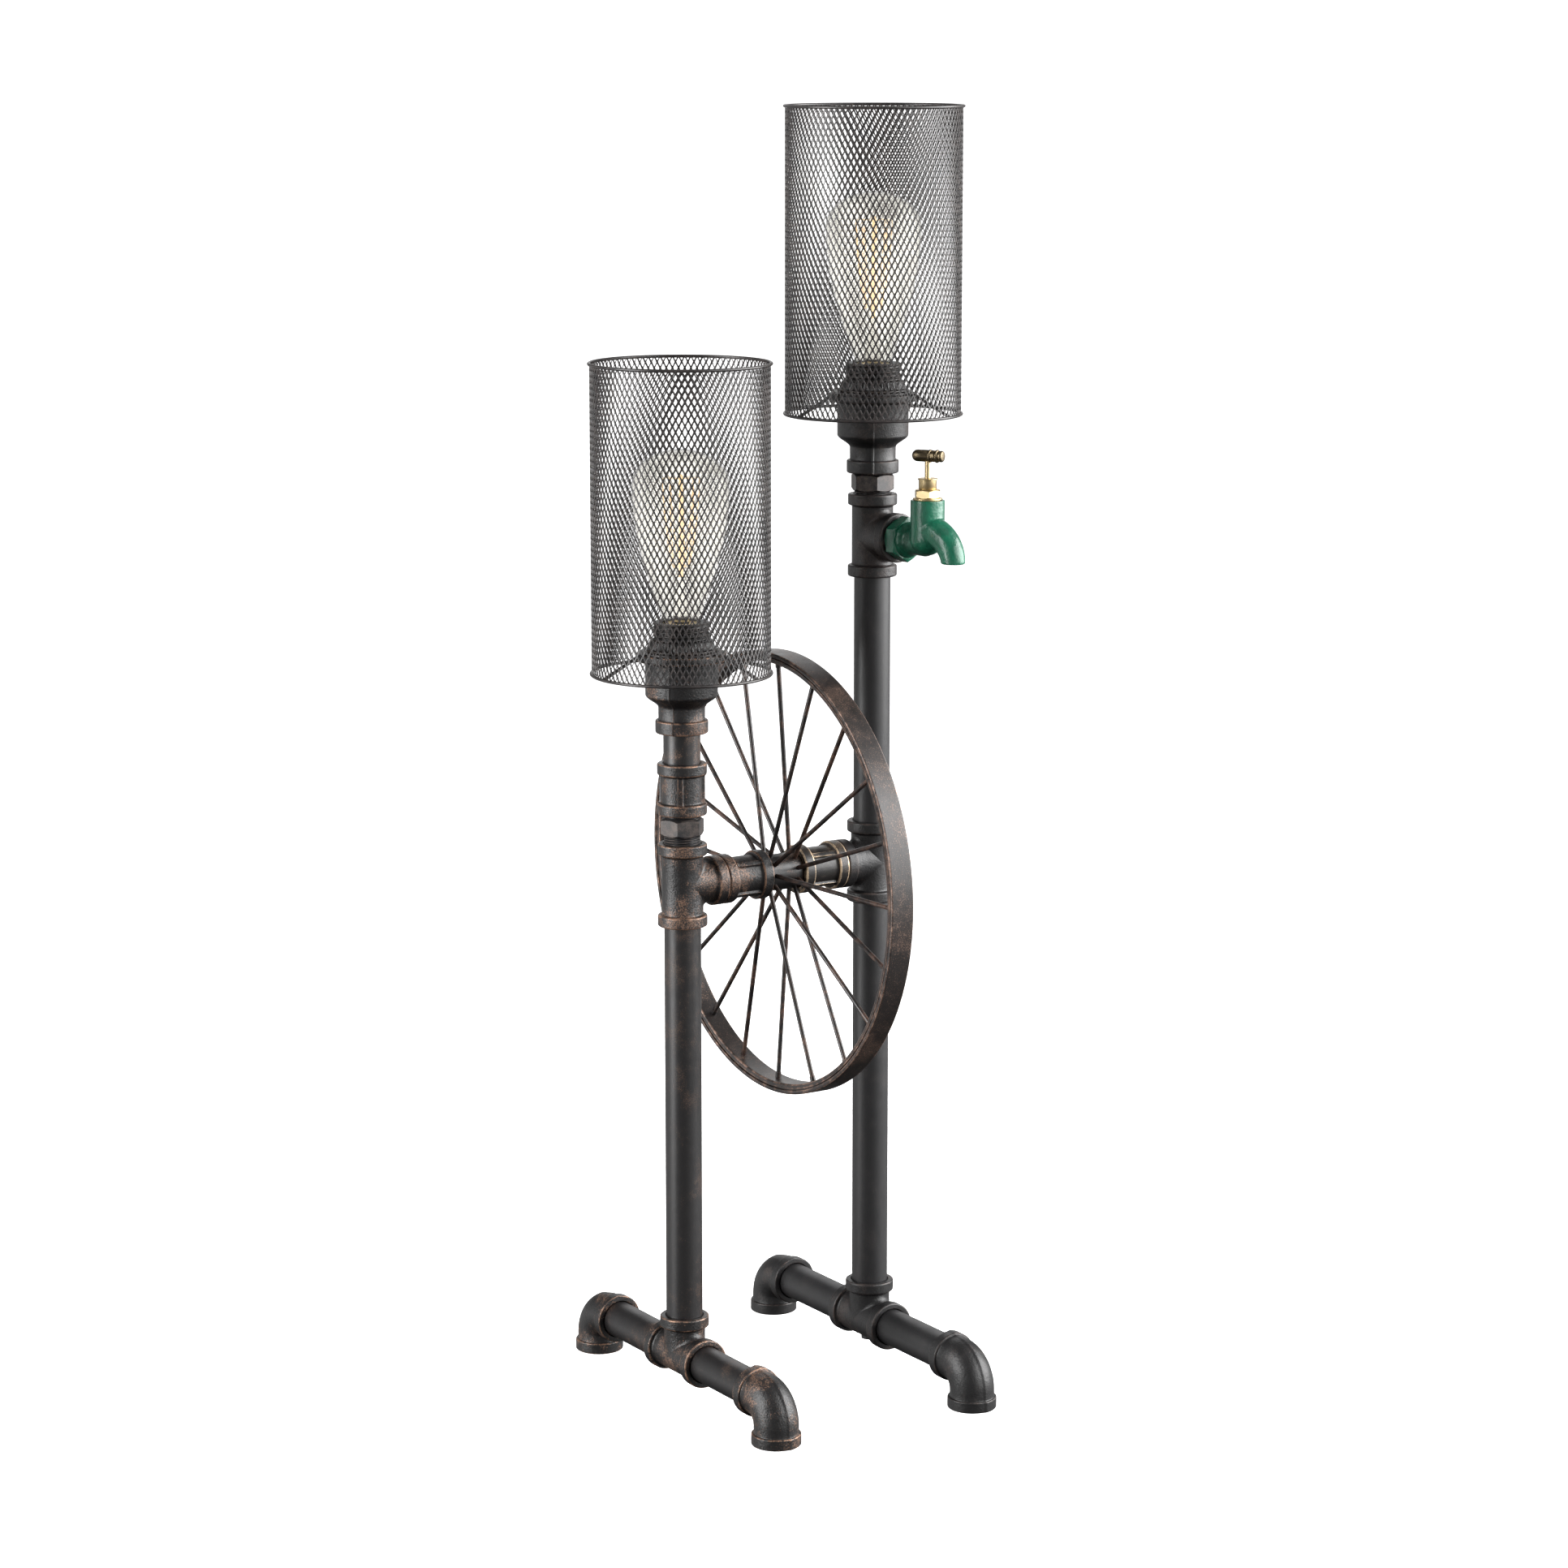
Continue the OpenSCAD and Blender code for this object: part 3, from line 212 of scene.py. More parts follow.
FLAT, BEND, WALL, FLOOR_SIDES = 4.0, 2.0, 6.0, 96
bend = np.radians(np.linspace(0, 90, 12))
reach = np.concatenate([[0.0, 1.5, 3.0], FLAT + BEND * np.sin(bend), [FLAT + BEND]])
rise = np.concatenate([[0.0, 0.0, 0.0], BEND - BEND * np.cos(bend), [WALL]])
bowl = polar(reach[:, None], angles(FLOOR_SIDES), rise[:, None])
floor_mesh = new_mesh("floor", bowl.reshape(-1, 3), grid_faces(len(reach), FLOOR_SIDES, close_along=False))
floor_mesh.shade_smooth()
floor_mesh.materials.append(paper.owner)
floor = add_object("floor", floor_mesh)
floor.visible_glossy = floor.visible_diffuse = False
print("floor", 2 * (FLAT + BEND), "m across")

# %% [markdown]
# What the metal mirrors between the soft boxes is a plain grey room: the world's strength, worked out
# from the direction alone. It is bright far out to the left and right, and in a band from the horizon
# down, like a pale table top; overhead and underfoot it is dark.

# %% Walls of the studio
SIDE_LIGHT, SIDE_POWER = 0.6, 4.0
# Heights between straight down, 0, and straight up, 1; brightness at the lowest, at these, at the highest
HEIGHTS, LEVELS = (0.25, 0.38, 0.47, 0.505), (0.02, 0.07, 0.48, 0.62, 0.16, 0.10)
world = bpy.data.worlds.new("studio")
wall = Nodes(world, "Background")
direction = wall.coordinates["Generated"]
to_right = {0: direction, 1: (look.y, -look.x, 0)}
sideways = wall.add("ShaderNodeVectorMath", to_right, operation="DOT_PRODUCT").outputs["Value"]
sides = wall.math("MULTIPLY", wall.math("POWER", wall.math("ABSOLUTE", sideways), SIDE_POWER), SIDE_LIGHT)
height = wall.add("ShaderNodeSeparateXYZ", {0: direction}).outputs["Z"]
upward = wall.add("ShaderNodeMapRange", {"Value": height, "From Min": -1})
band = wall.add("ShaderNodeValToRGB", {"Fac": upward.outputs["Result"]})
for at in HEIGHTS:
    band.color_ramp.elements.new(at)
for stop, level in zip(band.color_ramp.elements, LEVELS):
    stop.color = (level, level, level, 1)
wall.shade(Color=(1, 1, 1, 1), Strength=wall.math("ADD", band.outputs["Color"], sides))
scene.world = world
scene.view_settings.view_transform = "Standard"
print("stops of brightness", len(band.color_ramp.elements))

# %% [markdown]
# Each piece is one or more skins. A skin is a grid of points: one way runs along the piece, the other
# round it, and both ways usually close, so that a hollow fitting is a bent ring with no open edge.
# Lofting by hand or a boolean would also do, but a formula keeps every edge where the solid has it.

# %% Skins
def facing_out(V, F):
    """Vertices and faces, turned so that they face outwards: the volume that the faces enclose, summed
    over them, has to come out positive."""
    a, b, c, d = (V[F[:, k]] - V.mean(0) for k in range(4))
    volume = (np.cross(a, b) * c + np.cross(a, c) * d).sum()
    return V, F if volume > 0 else F[:, ::-1]


def skin(P, close_along=True):
    """Vertices and faces of the grid of points P[along, round]."""
    return facing_out(P.reshape(-1, 3), grid_faces(*P.shape[:2], close_along))


def joined(skins):
    """Several skins as one."""
    starts = np.cumsum([0] + [len(V) for V, _ in skins[:-1]])
    return np.concatenate([V for V, _ in skins]), np.concatenate([F + k for (_, F), k in zip(skins, starts)])


def read(items, what, width, kind=float):
    """One property of all items of a mesh, as an array with this many columns."""
    values = np.empty(len(items) * width, kind)
    items.foreach_get(what, values)
    return values.reshape(-1, width)


SHARPEST = 0.35


def rub_of(mesh):
    """How far each vertex stands out of its neighbours, from -1 in a corner to 1 on a sharp edge:
    the mean, over its edges, of twice the height lost along the normal over the edge length squared."""
    co, no = read(mesh.vertices, "co", 3) / MM, read(mesh.vertices, "normal", 3)
    one, other = read(mesh.edges, "vertices", 2, int).T
    step = co[other] - co[one]
    length = np.maximum((step ** 2).sum(1), 1e-4)
    bend0 = -2 * (step * no[one]).sum(1) / length
    bend1 = 2 * (step * no[other]).sum(1) / length
    total = np.bincount(one, bend0, len(co)) + np.bincount(other, bend1, len(co))
    count = np.bincount(np.append(one, other), minlength=len(co))
    return np.clip(total / np.maximum(count, 1) / SHARPEST, -1, 1)


def make_piece(name, skins, stands_for, finish, slot, body="stand", sharp=38):
    """Joins skins (millimetres) into one mesh, closes poles and seams, stores the rubbing on its
    vertices, gives it its finish and ties it to the frame."""
    V, F = joined(skins)
    mesh = new_mesh(name, V * MM, F)
    work = bmesh.new()
    work.from_mesh(mesh)
    bmesh.ops.remove_doubles(work, verts=work.verts, dist=1e-6)
    bmesh.ops.dissolve_degenerate(work, edges=work.edges, dist=1e-7)
    work.to_mesh(mesh)
    work.free()
    mesh.shade_smooth()
    mesh.set_sharp_from_angle(angle=np.radians(sharp))
    mesh.attributes.new("rub", "FLOAT", "POINT").data.foreach_set("value", rub_of(mesh))
    mesh.materials.append(finish.owner)
    piece = add_object(name, mesh)
    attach(piece, body)
    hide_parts(*stands_for)
    print(f"{name}: {len(mesh.vertices)} vertices")
    return piece


def dress(node, skins, finish, slot, **more):
    """The piece that stands for one solid, named after it."""
    return make_piece(node + "_skin", skins, [node], finish, slot, **more)


def middle(node):
    """Middle of a solid's box in millimetres."""
    return np.mean([list(corner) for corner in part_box(node)], 0) / MM


def low_high(node, axis=2):
    """Lowest and highest place of a solid along an axis, in millimetres."""
    return tuple(corner[axis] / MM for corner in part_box(node))


POSTS = ("front", "back")
post_at = {"front": middle("front_post_pipe") * [1, 0, 0], "back": middle("back_lower_pipe") * [1, 0, 0]}
axle_z = middle("wheel_rim")[2]
foot_z = middle("front_foot_nipple_near")[2]
tap_z = middle("tap_tee")[2]
print("posts at", {k: round(v[0], 1) for k, v in post_at.items()}, "axle at", round(axle_z, 1))

# %% [markdown]
# Most of the lamp is turned or cast round an axis, so the working tool is a lathe: a profile of radius
# and height carried round a circle. A bump may be added to the radius, which turns the same lathe into
# ribs, mould seams, flats and screw threads.

# %% Lathe, bands and threads
def axes(z, x):
    """Turning matrix whose third column is the lathe's axis z and whose first is x."""
    z, x = np.array(z, float), np.array(x, float)
    return np.stack([x, np.cross(z, x), z], 1)


UP, TURNED = np.eye(3), axes((0, 0, 1), (-1, 0, 0))
ALONG_X, ALONG_Y = axes((1, 0, 0), (0, 1, 0)), axes((0, 1, 0), (0, 0, 1))


def set_at(P, turn, place):
    """Turns and moves points from the lathe to their place on the lamp."""
    return P @ turn.T + np.asarray(place, float)


def lathe(profile, sides=96, bump=None, turn=UP, place=(0, 0, 0)):
    """Point of row k at angle a: ((r + bump) cos a, (r + bump) sin a, z)."""
    r, z = np.hsplit(np.asarray(profile, float), 2)
    a = angles(sides)
    if bump is not None:
        r = r + bump(a, r, z)
    return set_at(polar(r, a, z), turn, place)


def even(radius, z):
    """Rows of a profile with one radius at the heights z."""
    z = np.asarray(z, float)
    return np.stack([np.full_like(z, radius), z], 1)


def arc(c, r, a0, a1, n=7):
    """Points of an arc round c, angles in degrees."""
    a = np.radians(np.linspace(a0, a1, n))
    return np.stack([c[0] + r * np.cos(a), c[1] + r * np.sin(a)], 1)


def tube_loop(outer, inner, z0, z1, ease=0.5):
    """Closed profile of a tube with eased edges."""
    low, high = z0 + ease, z1 - ease
    return np.concatenate([
        arc((outer - ease, low), ease, -90, 0, 4),
        even(outer, [low + 0.3, low + 0.6, high - 0.6, high - 0.3]),
        arc((outer - ease, high), ease, 0, 90, 4),
        [[inner + ease, z1], [inner, high], [inner, low], [inner + ease, z0]],
    ])


def thread(pitch, depth, z0, z1):
    """Radial bump of a screw thread between z0 and z1: a ridge that climbs one pitch a turn, with
    rounded crests, fading out over half a pitch at each end."""
    def bump(a, r, z):
        wave = 0.5 + 0.5 * np.cos(2 * np.pi * z / pitch - a)
        fade = np.clip((z - z0) / pitch * 2, 0, 1) * np.clip((z1 - z) / pitch * 2, 0, 1)
        return depth * (wave ** 0.7 - 1) * fade * (r > 12)
    return bump


PIPE_R, BORE_R, SOCKET_R = 13.35, 10.45, 13.45
FIT_R, BAND_R, BAND_W, REACH = 15.1, 18.0, 8.3, 30.3


def banded_end(body_r, z0, z1):
    """Half profile of a cast end: the body from z0, a fillet, the rounded band, and the face at z1 in
    to the chamfered mouth of its socket."""
    foot = z1 - BAND_W
    rise = BAND_R - body_r
    edge = min(1.25, rise * 0.55)
    fillet = min(rise - edge - 0.05, 1.7)
    low, high = foot + edge, z1 - edge
    return np.concatenate([
        [[body_r, z0]],
        arc((body_r + fillet, foot - fillet), fillet, 180, 90, 6),
        arc((BAND_R - edge, low), edge, -90, 0),
        even(BAND_R, [low + 0.6, low + 1.1, high - 1.1, high - 0.6]),
        arc((BAND_R - edge, high), edge, 0, 90),
        [[SOCKET_R + 0.9, z1], [SOCKET_R, z1 - 0.9]],
    ])


def turned_over(profile):
    """The same profile mirrored in height and read backwards."""
    return profile[::-1] * [1, -1]


print("rows of a banded end", len(banded_end(FIT_R, 0, REACH)))

# %% [markdown]
# The finish is what makes this lamp: black-brown lacquer over rough iron, rubbed back to copper where
# a hand would rub. Three scales of noise do it. Patches some 25 mm wide choose where the rubbing
# is, a fine speckle breaks it up into grains, and the stored rubbing of each vertex brings it out on
# bands and ribs. A grain of its own lifts the surface a little, as on a sand casting.

# %% Finishes: rubbed iron
PATCHY = 0.24


def rubbed_iron(name, colours, specks, edges, rough, grain, fine=1500, spread=0.0, patchy=PATCHY):
    """Lacquered iron rubbed bare: in specks, where a fine noise rises over a threshold that patches
    lower, and on edges, where the stored rubbing, broken up by noise, is high; spread widens those.
    specks and edges say how much of each; grain is the casting's grain in millimetres."""
    f = Nodes(bpy.data.materials.new(name))
    fresh, faded, metal = colours
    rub = f.attribute("rub")
    patch, cloud, speck = f.noise(30), f.noise(130, 5, 0.6), f.noise(fine, 2, 0.6)
    worn = f.ramp(f.math("ADD", patch, f.math("MULTIPLY", cloud, 0.5)), 0.68, 0.94)
    over = f.math("MULTIPLY_ADD", worn, patchy, f.math("ADD", speck, (PATCHY - patchy) / 2))
    grains = f.math("MULTIPLY", f.ramp(over, 0.65, 0.83), specks)
    ridge = f.math("MULTIPLY_ADD", cloud, 2.2, f.math("MULTIPLY_ADD", speck, 1.2, spread))
    broken = f.math("MULTIPLY", f.ramp(f.math("ADD", rub, ridge), 2.35, 3.15), edges)
    line = f.math("MULTIPLY", broken, f.ramp(rub, 0.25 - spread, 0.7 - spread))
    bare = f.math("MAXIMUM", grains, line)
    tone = f.mix(cloud, metal, tuple(min(1, 1.5 * c) for c in metal))
    height = f.math("ADD", f.noise(850), f.math("MULTIPLY", cloud, 1.5))
    f.shade(Base_Color=f.mix(bare, f.mix(worn, fresh, faded), tone), Metallic=f.math("MULTIPLY", bare, 0.6),
            Roughness=f.math("MULTIPLY_ADD", cloud, 0.22, rough - 0.11), Normal=f.bump(height, grain))
    return f


BLACK, COPPER = (6.6, 6.0, 6.2), (270, 160, 108)
UNUSUAL = {"front_cast_iron": {"fine": 1000}, "spoke_bronze": {"fine": 700},
           "wheel_bronze": {"patchy": 0.10}, "worn_axle_iron": {"spread": 0.32}}
iron = {}
# Colours of the lacquer, of its worn patches and of the bare metal, in thousandths; then the amounts
for name, *colours, specks, edges, rough, grain in (
    ("front_cast_iron", BLACK, (16.2, 12.4, 11.4), COPPER, 0.50, 0.95, 0.39, 0.30),
    ("front_pipe_lacquer", (8.6, 7.7, 8.1), (11.4, 9.5, 9.5), COPPER, 0.14, 0.2, 0.40, 0.07),
    ("front_neck_lacquer", BLACK, (12.5, 10.2, 9.8), COPPER, 0.30, 0.5, 0.37, 0.04),
    ("hub_bronze", (5.8, 5.1, 5.1), (9.8, 7.6, 7.1), COPPER, 0.30, 1.0, 0.36, 0.08),
    ("back_cast_iron", (7.4, 7.0, 7.4), (11.8, 10.2, 10.4), (150, 108, 92), 0.22, 0.25, 0.42, 0.22),
    ("back_pipe_lacquer", (11.2, 10.9, 11.7), (13.4, 12.8, 13.7), (130, 95, 82), 0.05, 0.15, 0.44, 0.05),
    ("wheel_bronze", (12.5, 9.8, 9.2), (23, 15.8, 13.5), (270, 172, 130), 0.55, 0.9, 0.38, 0.06),
    ("spoke_bronze", (6.2, 5.0, 4.9), (44, 24.5, 18), (260, 142, 98), 0.22, 0.1, 0.36, 0.03),
    ("worn_axle_iron", (8, 6.6, 6), (24, 17.5, 13.8), (500, 375, 255), 0.14, 1.0, 0.36, 0.12),
    ("hex_nipple_lacquer", (7.2, 7.2, 8.2), (10.0, 9.6, 10.4), (160, 125, 108), 0.08, 0.4, 0.46, 0.03),
    ("lampholder_lacquer", (6.0, 5.6, 5.6), (10.5, 8.8, 8.2), (120, 85, 68), 0.1, 0.3, 0.38, 0.03),
    ("shade_gunmetal", (18, 16.6, 17), (33, 29.5, 29), (200, 155, 140), 0.12, 0.1, 0.38, 0.02),
    ("shade_wire", (14, 12.8, 13), (26, 22.5, 22), (140, 105, 95), 0.12, 0.1, 0.36, 0.02),
):
    colours = [tuple(c / 1000 for c in colour) for colour in colours]
    iron[name] = rubbed_iron(name, colours, specks, edges, rough, grain, **UNUSUAL.get(name, {}))
CAST = {post: iron[f"{post}_cast_iron"] for post in POSTS}
TUBE = {post: iron[f"{post}_pipe_lacquer"] for post in POSTS}
print("finishes", len(bpy.data.materials))

# %% [markdown]
# The pipes are seamless tube, cut to length and screwed into the fittings. The solid has their length;
# the skin only needs a rounder circle than the solid's facets.

# %% Pipes and nipples
for node in ("front_post_pipe", "front_neck_nipple", "back_lower_pipe", "back_upper_pipe"):
    post = node.split("_")[0]
    finish = iron["front_neck_lacquer"] if node == "front_neck_nipple" else TUBE[post]
    upright = lathe(tube_loop(PIPE_R, BORE_R, *low_high(node)), place=middle(node) * [1, 0, 0])
    dress(node, [skin(upright)], finish, f"{post}_pipe")

FEET = [(post, side) for post in POSTS for side in ("near", "far")]
for post, side in FEET:
    node = f"{post}_foot_nipple_{side}"
    loop = tube_loop(PIPE_R, BORE_R, *low_high(node, 1))
    level = lathe(loop, turn=ALONG_Y, place=post_at[post] + [0, 0, foot_z])
    dress(node, [skin(level)], TUBE[post], f"{post}_pipe")

# %% [markdown]
# A malleable tee is cast in sand, so its branch grows out of the run with a soft flare and not along a
# sharp curve. A boolean would give the sharp curve, and a voxel remesh would round the bands too. So
# the branch is a sleeve of its own whose foot spreads on the run: most along the run, where the crotch
# is, and not at all at the sides, where branch and run are flush.

# %% Tees
def branch_sleeve(flare=5.0, sides=128):
    """Sleeve along +X. At angle a from the run's direction the foot lies at the distance R + f from the
    branch's axis, f = flare cos^2 a, on the run's surface x = sqrt(R^2 - y^2). A quarter ellipse
    carries it to the branch's own radius; then come the band, the face and the bore."""
    a = angles(sides)
    R = FIT_R
    f = flare * np.cos(a) ** 2
    surface = lambda rho: np.sqrt(np.maximum(R ** 2 - (rho * np.sin(a)) ** 2, 0))
    x_foot = surface(R + f) - 0.05
    x_neck = surface(np.full_like(a, R)) + f
    q = np.linspace(0, np.pi / 2, 9)[:, None]
    rho = R + f * (1 - np.sin(q))
    x = x_foot + (x_neck - x_foot) * (1 - np.cos(q))
    tail = np.concatenate([banded_end(R, 0, REACH)[1:], even(SOCKET_R, [REACH - 13, 9.0])])
    rho = np.concatenate([(R + f - 0.6)[None], rho, np.repeat(tail[:, :1], sides, 1)])
    x = np.concatenate([(x_foot - 1.2)[None], x, np.repeat(tail[:, 1:], sides, 1)])
    return np.stack([x, rho * np.sin(a), rho * np.cos(a)], -1)


def tee_skins(turn, place):
    """Run along the turned Z, branch along the turned X."""
    half = banded_end(FIT_R, 0, REACH)
    run = lathe(np.concatenate([turned_over(half)[:-1], half]), 128, turn=turn, place=place)
    return [skin(run), skin(set_at(branch_sleeve(), turn, place))]


tap_way = (middle("tap_spindle") - post_at["back"]) * [1, 1, 0]
VALVE_OUT = np.linalg.norm(tap_way)
tap_turn = axes((0, 0, 1), tap_way / VALVE_OUT)
for node, post, turn, z in (
    ("front_base_tee", "front", ALONG_Y, foot_z), ("front_axle_tee", "front", UP, axle_z),
    ("back_base_tee", "back", ALONG_Y, foot_z), ("back_axle_tee", "back", TURNED, axle_z),
    ("tap_tee", "back", tap_turn, tap_z),
):
    dress(node, tee_skins(turn, post_at[post] + [0, 0, z]), CAST[post], f"{post}_iron")

# %% [markdown]
# An elbow is one round section carried along a path: up from the open mouth, a quarter turn, and level
# to the nipple. Its two mould halves never met quite true, so a seam with a small step runs along the
# outside of the bend.

# %% Elbows
ELBOW_R, BEND_R, ARM = 16.3, 18.0, 13.0
TURN_LENGTH = BEND_R * np.pi / 2


def elbow_path(s):
    """Centre and outward direction at the length s: straight for ARM, a quarter circle of radius
    BEND_R, straight again. One mouth looks down, the other along +Y."""
    q = np.clip((s - ARM) / BEND_R, 0, np.pi / 2)
    out = np.stack([0 * q, -np.cos(q), np.sin(q)], -1)
    centre = np.array([0, BEND_R, -BEND_R]) + BEND_R * out
    centre[:, 2] -= np.clip(ARM - s, 0, None)
    centre[:, 1] += np.clip(s - ARM - TURN_LENGTH, 0, None)
    return centre, out


def elbow_skin(turn, place, sides=128):
    """Rows of (radius, length) up the outside and back through the bore, closed into a ring."""
    full = 2 * ARM + TURN_LENGTH
    first = turned_over(banded_end(ELBOW_R, 0, ARM)) + [0, ARM]
    rows = np.concatenate([
        first, even(ELBOW_R, np.linspace(ARM, full - ARM, 26)[1:-1]), turned_over(first) + [0, full],
        [[SOCKET_R, full - ARM], [BORE_R, full - ARM]],
        even(BORE_R, np.linspace(full - ARM - 1, ARM + 1, 12)),
        [[BORE_R, ARM], [SOCKET_R, ARM]],
    ])
    centre, out = elbow_path(rows[:, 1])
    a = angles(sides) - np.pi
    r = np.repeat(rows[:, :1], sides, 1)
    along = a[None] * r
    seam = 0.45 * np.exp(-(along / 0.7) ** 2) + 0.5 * np.exp(-(along / 7) ** 2) * (along > 0)
    r = r + seam * (r > ELBOW_R - 0.1)
    section = np.cos(a)[:, None] * out[:, None] + np.sin(a)[:, None] * np.array([1.0, 0, 0])
    return skin(set_at(centre[:, None] + r[..., None] * section, turn, place))


for post, side in FEET:
    y0, y1 = low_high(f"{post}_foot_nipple_{side}", 1)
    turn, mouth_y = (UP, y0 - BEND_R) if side == "near" else (TURNED, y1 + BEND_R)
    elbow = elbow_skin(turn, post_at[post] + [0, mouth_y, foot_z])
    dress(f"{post}_elbow_{side}", [elbow], CAST[post], f"{post}_iron")

# %% [markdown]
# A coupling has a band at each end and raised ribs between, which leave sunken panels. The ribs are a
# bump on the lathe's radius: flat on top with steep sides.

# %% Couplings
RIBS, RIB_W, RIB_RISE = 4, 3.6, 1.5


def ribs(length, start):
    """Radial bump of ribs between the bands: full height within half the width of each rib's middle."""
    step = np.pi / RIBS

    def bump(a, r, z):
        to_rib = np.abs((a - start + step) % (2 * step) - step) * FIT_R
        side = np.clip((RIB_W / 2 + 0.5 - to_rib) / 0.8, 0, 1)
        between = np.abs(z) < length / 2 - BAND_W + 1.2
        outside = (np.abs(r - FIT_R) < 1.8) & (r < FIT_R + 1.2)
        return RIB_RISE * side * side * (3 - 2 * side) * between * outside
    return bump


def coupling_skin(length, start, turn, place):
    """Banded at both ends, ribbed between."""
    half = banded_end(FIT_R, 0, length / 2)
    edge = [[FIT_R, length / 2 - BAND_W - 1.8]]
    half = np.concatenate([half[:1], edge, half[1:]])
    loop = np.concatenate([turned_over(half)[:-1], half])
    return skin(lathe(loop, 192, ribs(length, start), turn, place))


for node, post, turn, axis, start, finish in (
    ("front_coupling", "front", UP, 2, -126, CAST["front"]),
    ("front_axle_coupling", "front", ALONG_X, 0, 45, CAST["front"]),
    ("back_axle_coupling", "back", ALONG_X, 0, 45, iron["worn_axle_iron"]),
):
    coupling = coupling_skin(np.ptp(low_high(node, axis)), np.radians(start), turn, middle(node))
    dress(node, [coupling], finish, f"{post}_iron")

# %% [markdown]
# A hex nipple is a threaded tube with a hexagon in its middle. In polar form a hexagon is the radius
# flat / cos(angle from the middle of a side), cut down by a cone at both ends for the turned chamfer.
# The threads are the lathe again.

# %% Hex nipples
def hex_skin(flat, z0, z1, inner, corner_at, turn=UP, place=(0, 0, 0), chamfer=0.62):
    """Hexagon from z0 to z1 with a bore; corner_at is the angle of one corner. Rows at the chamfer
    follow the cone."""
    a = angles(144) + corner_at
    shape = flat / np.cos((a - corner_at) % (np.pi / 3) - np.pi / 6)
    corner, turned = 2 * flat / np.sqrt(3), flat * 0.985
    depth = np.clip((shape - turned) / (corner - turned), 0, 1) * (corner - flat) * chamfer
    face, bore = np.minimum(shape, turned), np.full_like(a, inner)
    low, high = np.full_like(a, z0), np.full_like(a, z1)
    ring = np.stack([face, shape - 0.15, shape, shape, shape - 0.15, face, bore, bore])
    z = np.stack([low, low + depth, low + depth + 0.2, high - depth - 0.2, high - depth, high, high, low])
    return skin(set_at(polar(ring, a, z), turn, place))


def screw_skin(radius, inner, z0, z1, step, pitch, depth, sides=72, **where):
    """A threaded tube, its rows close enough to carry the thread."""
    outer = even(radius, np.arange(z0, z1 + step / 2, step))
    rows = np.concatenate([outer, [[inner, outer[-1, 1]], [inner, outer[0, 1]]]])
    return skin(lathe(rows, sides, thread(pitch, depth, z0, z1), **where))


PITCH, PIPE_STEP = 1.81, 0.26
HEX_FLAT, HEX_HIGH = 14.2, 12.2
for post, lift, corner in (("front", 19.2, -132.9), ("back", 15.2, -111.5)):
    node = f"{post}_hex_nipple"
    z0, z1 = low_high(node)
    place = post_at[post]
    screw = screw_skin(PIPE_R, BORE_R, z0, z1, PIPE_STEP, PITCH, 1.0, place=place)
    low = z0 + lift
    hexagon = hex_skin(HEX_FLAT, low, low + HEX_HIGH, PIPE_R - 1.5, np.radians(corner), place=place)
    dress(node, [screw, hexagon], iron["hex_nipple_lacquer"], f"{post}_pipe", sharp=30)

# %% [markdown]
# The bell is a cast reducer turned mouth up: a banded foot, a neck, a soft flare and a wide mouth. Its
# mould seam stands on one side as a thin chipped ridge.

# %% Bells
def bell_loop(z):
    """Closed profile of the bell over its foot at z."""
    t = np.linspace(0, 1, 17)[:, None]
    flare = np.concatenate([16.8 + (26 - 16.8) * (1 - np.cos(np.pi * t)) / 2, 18.5 + 9.5 * t], 1)
    rows = np.concatenate([
        [[SOCKET_R, 0.9], [SOCKET_R + 0.9, 0]], arc((17.8, 1.2), 1.2, -90, 0), arc((17.8, 8.3), 1.2, 0, 75),
        [[17.3, 9.5], [16.9, 9.9], [16.7, 10.6]], flare, [[26, 50.4]], arc((28, 50.4), 2, 180, 90, 5),
        arc((31.15, 53.6), 1.2, -90, 0), arc((31.15, 56.8), 1.2, 0, 90),
        [[20.9, 58], [20.4, 57.5], [20.4, 27], [SOCKET_R, 27]],
    ])
    return rows + [0, z]


def bell_seam(at, foot):
    """Ridge along the side at one angle, with a step on one side, up to the foot of the mouth band.
    The distance d from it is the angle between, the short way round, times the radius."""
    def bump(a, r, z):
        d = ((a - at + np.pi) % (2 * np.pi) - np.pi) * r
        ridge = 0.55 * np.exp(-(d / 0.6) ** 2) + 0.4 * np.exp(-(d / 5) ** 2) * (d > 0)
        return ridge * (r > 16) * (z - foot < 50)
    return bump


for post, seam_at in (("front", -141), ("back", -123)):
    foot = low_high(f"{post}_bell")[0]
    bell = lathe(bell_loop(foot), 512, bell_seam(np.radians(seam_at), foot), place=post_at[post])
    dress(f"{post}_bell", [skin(bell)], CAST[post], f"{post}_iron")

# %% [markdown]
# Inside the shade stands the lampholder: a black shell with a coarse outside thread, and the ring nut
# that runs on it and clamps the shade's carrier to the bell. The nut is a shallow cone with a bead and
# a finely knurled side.

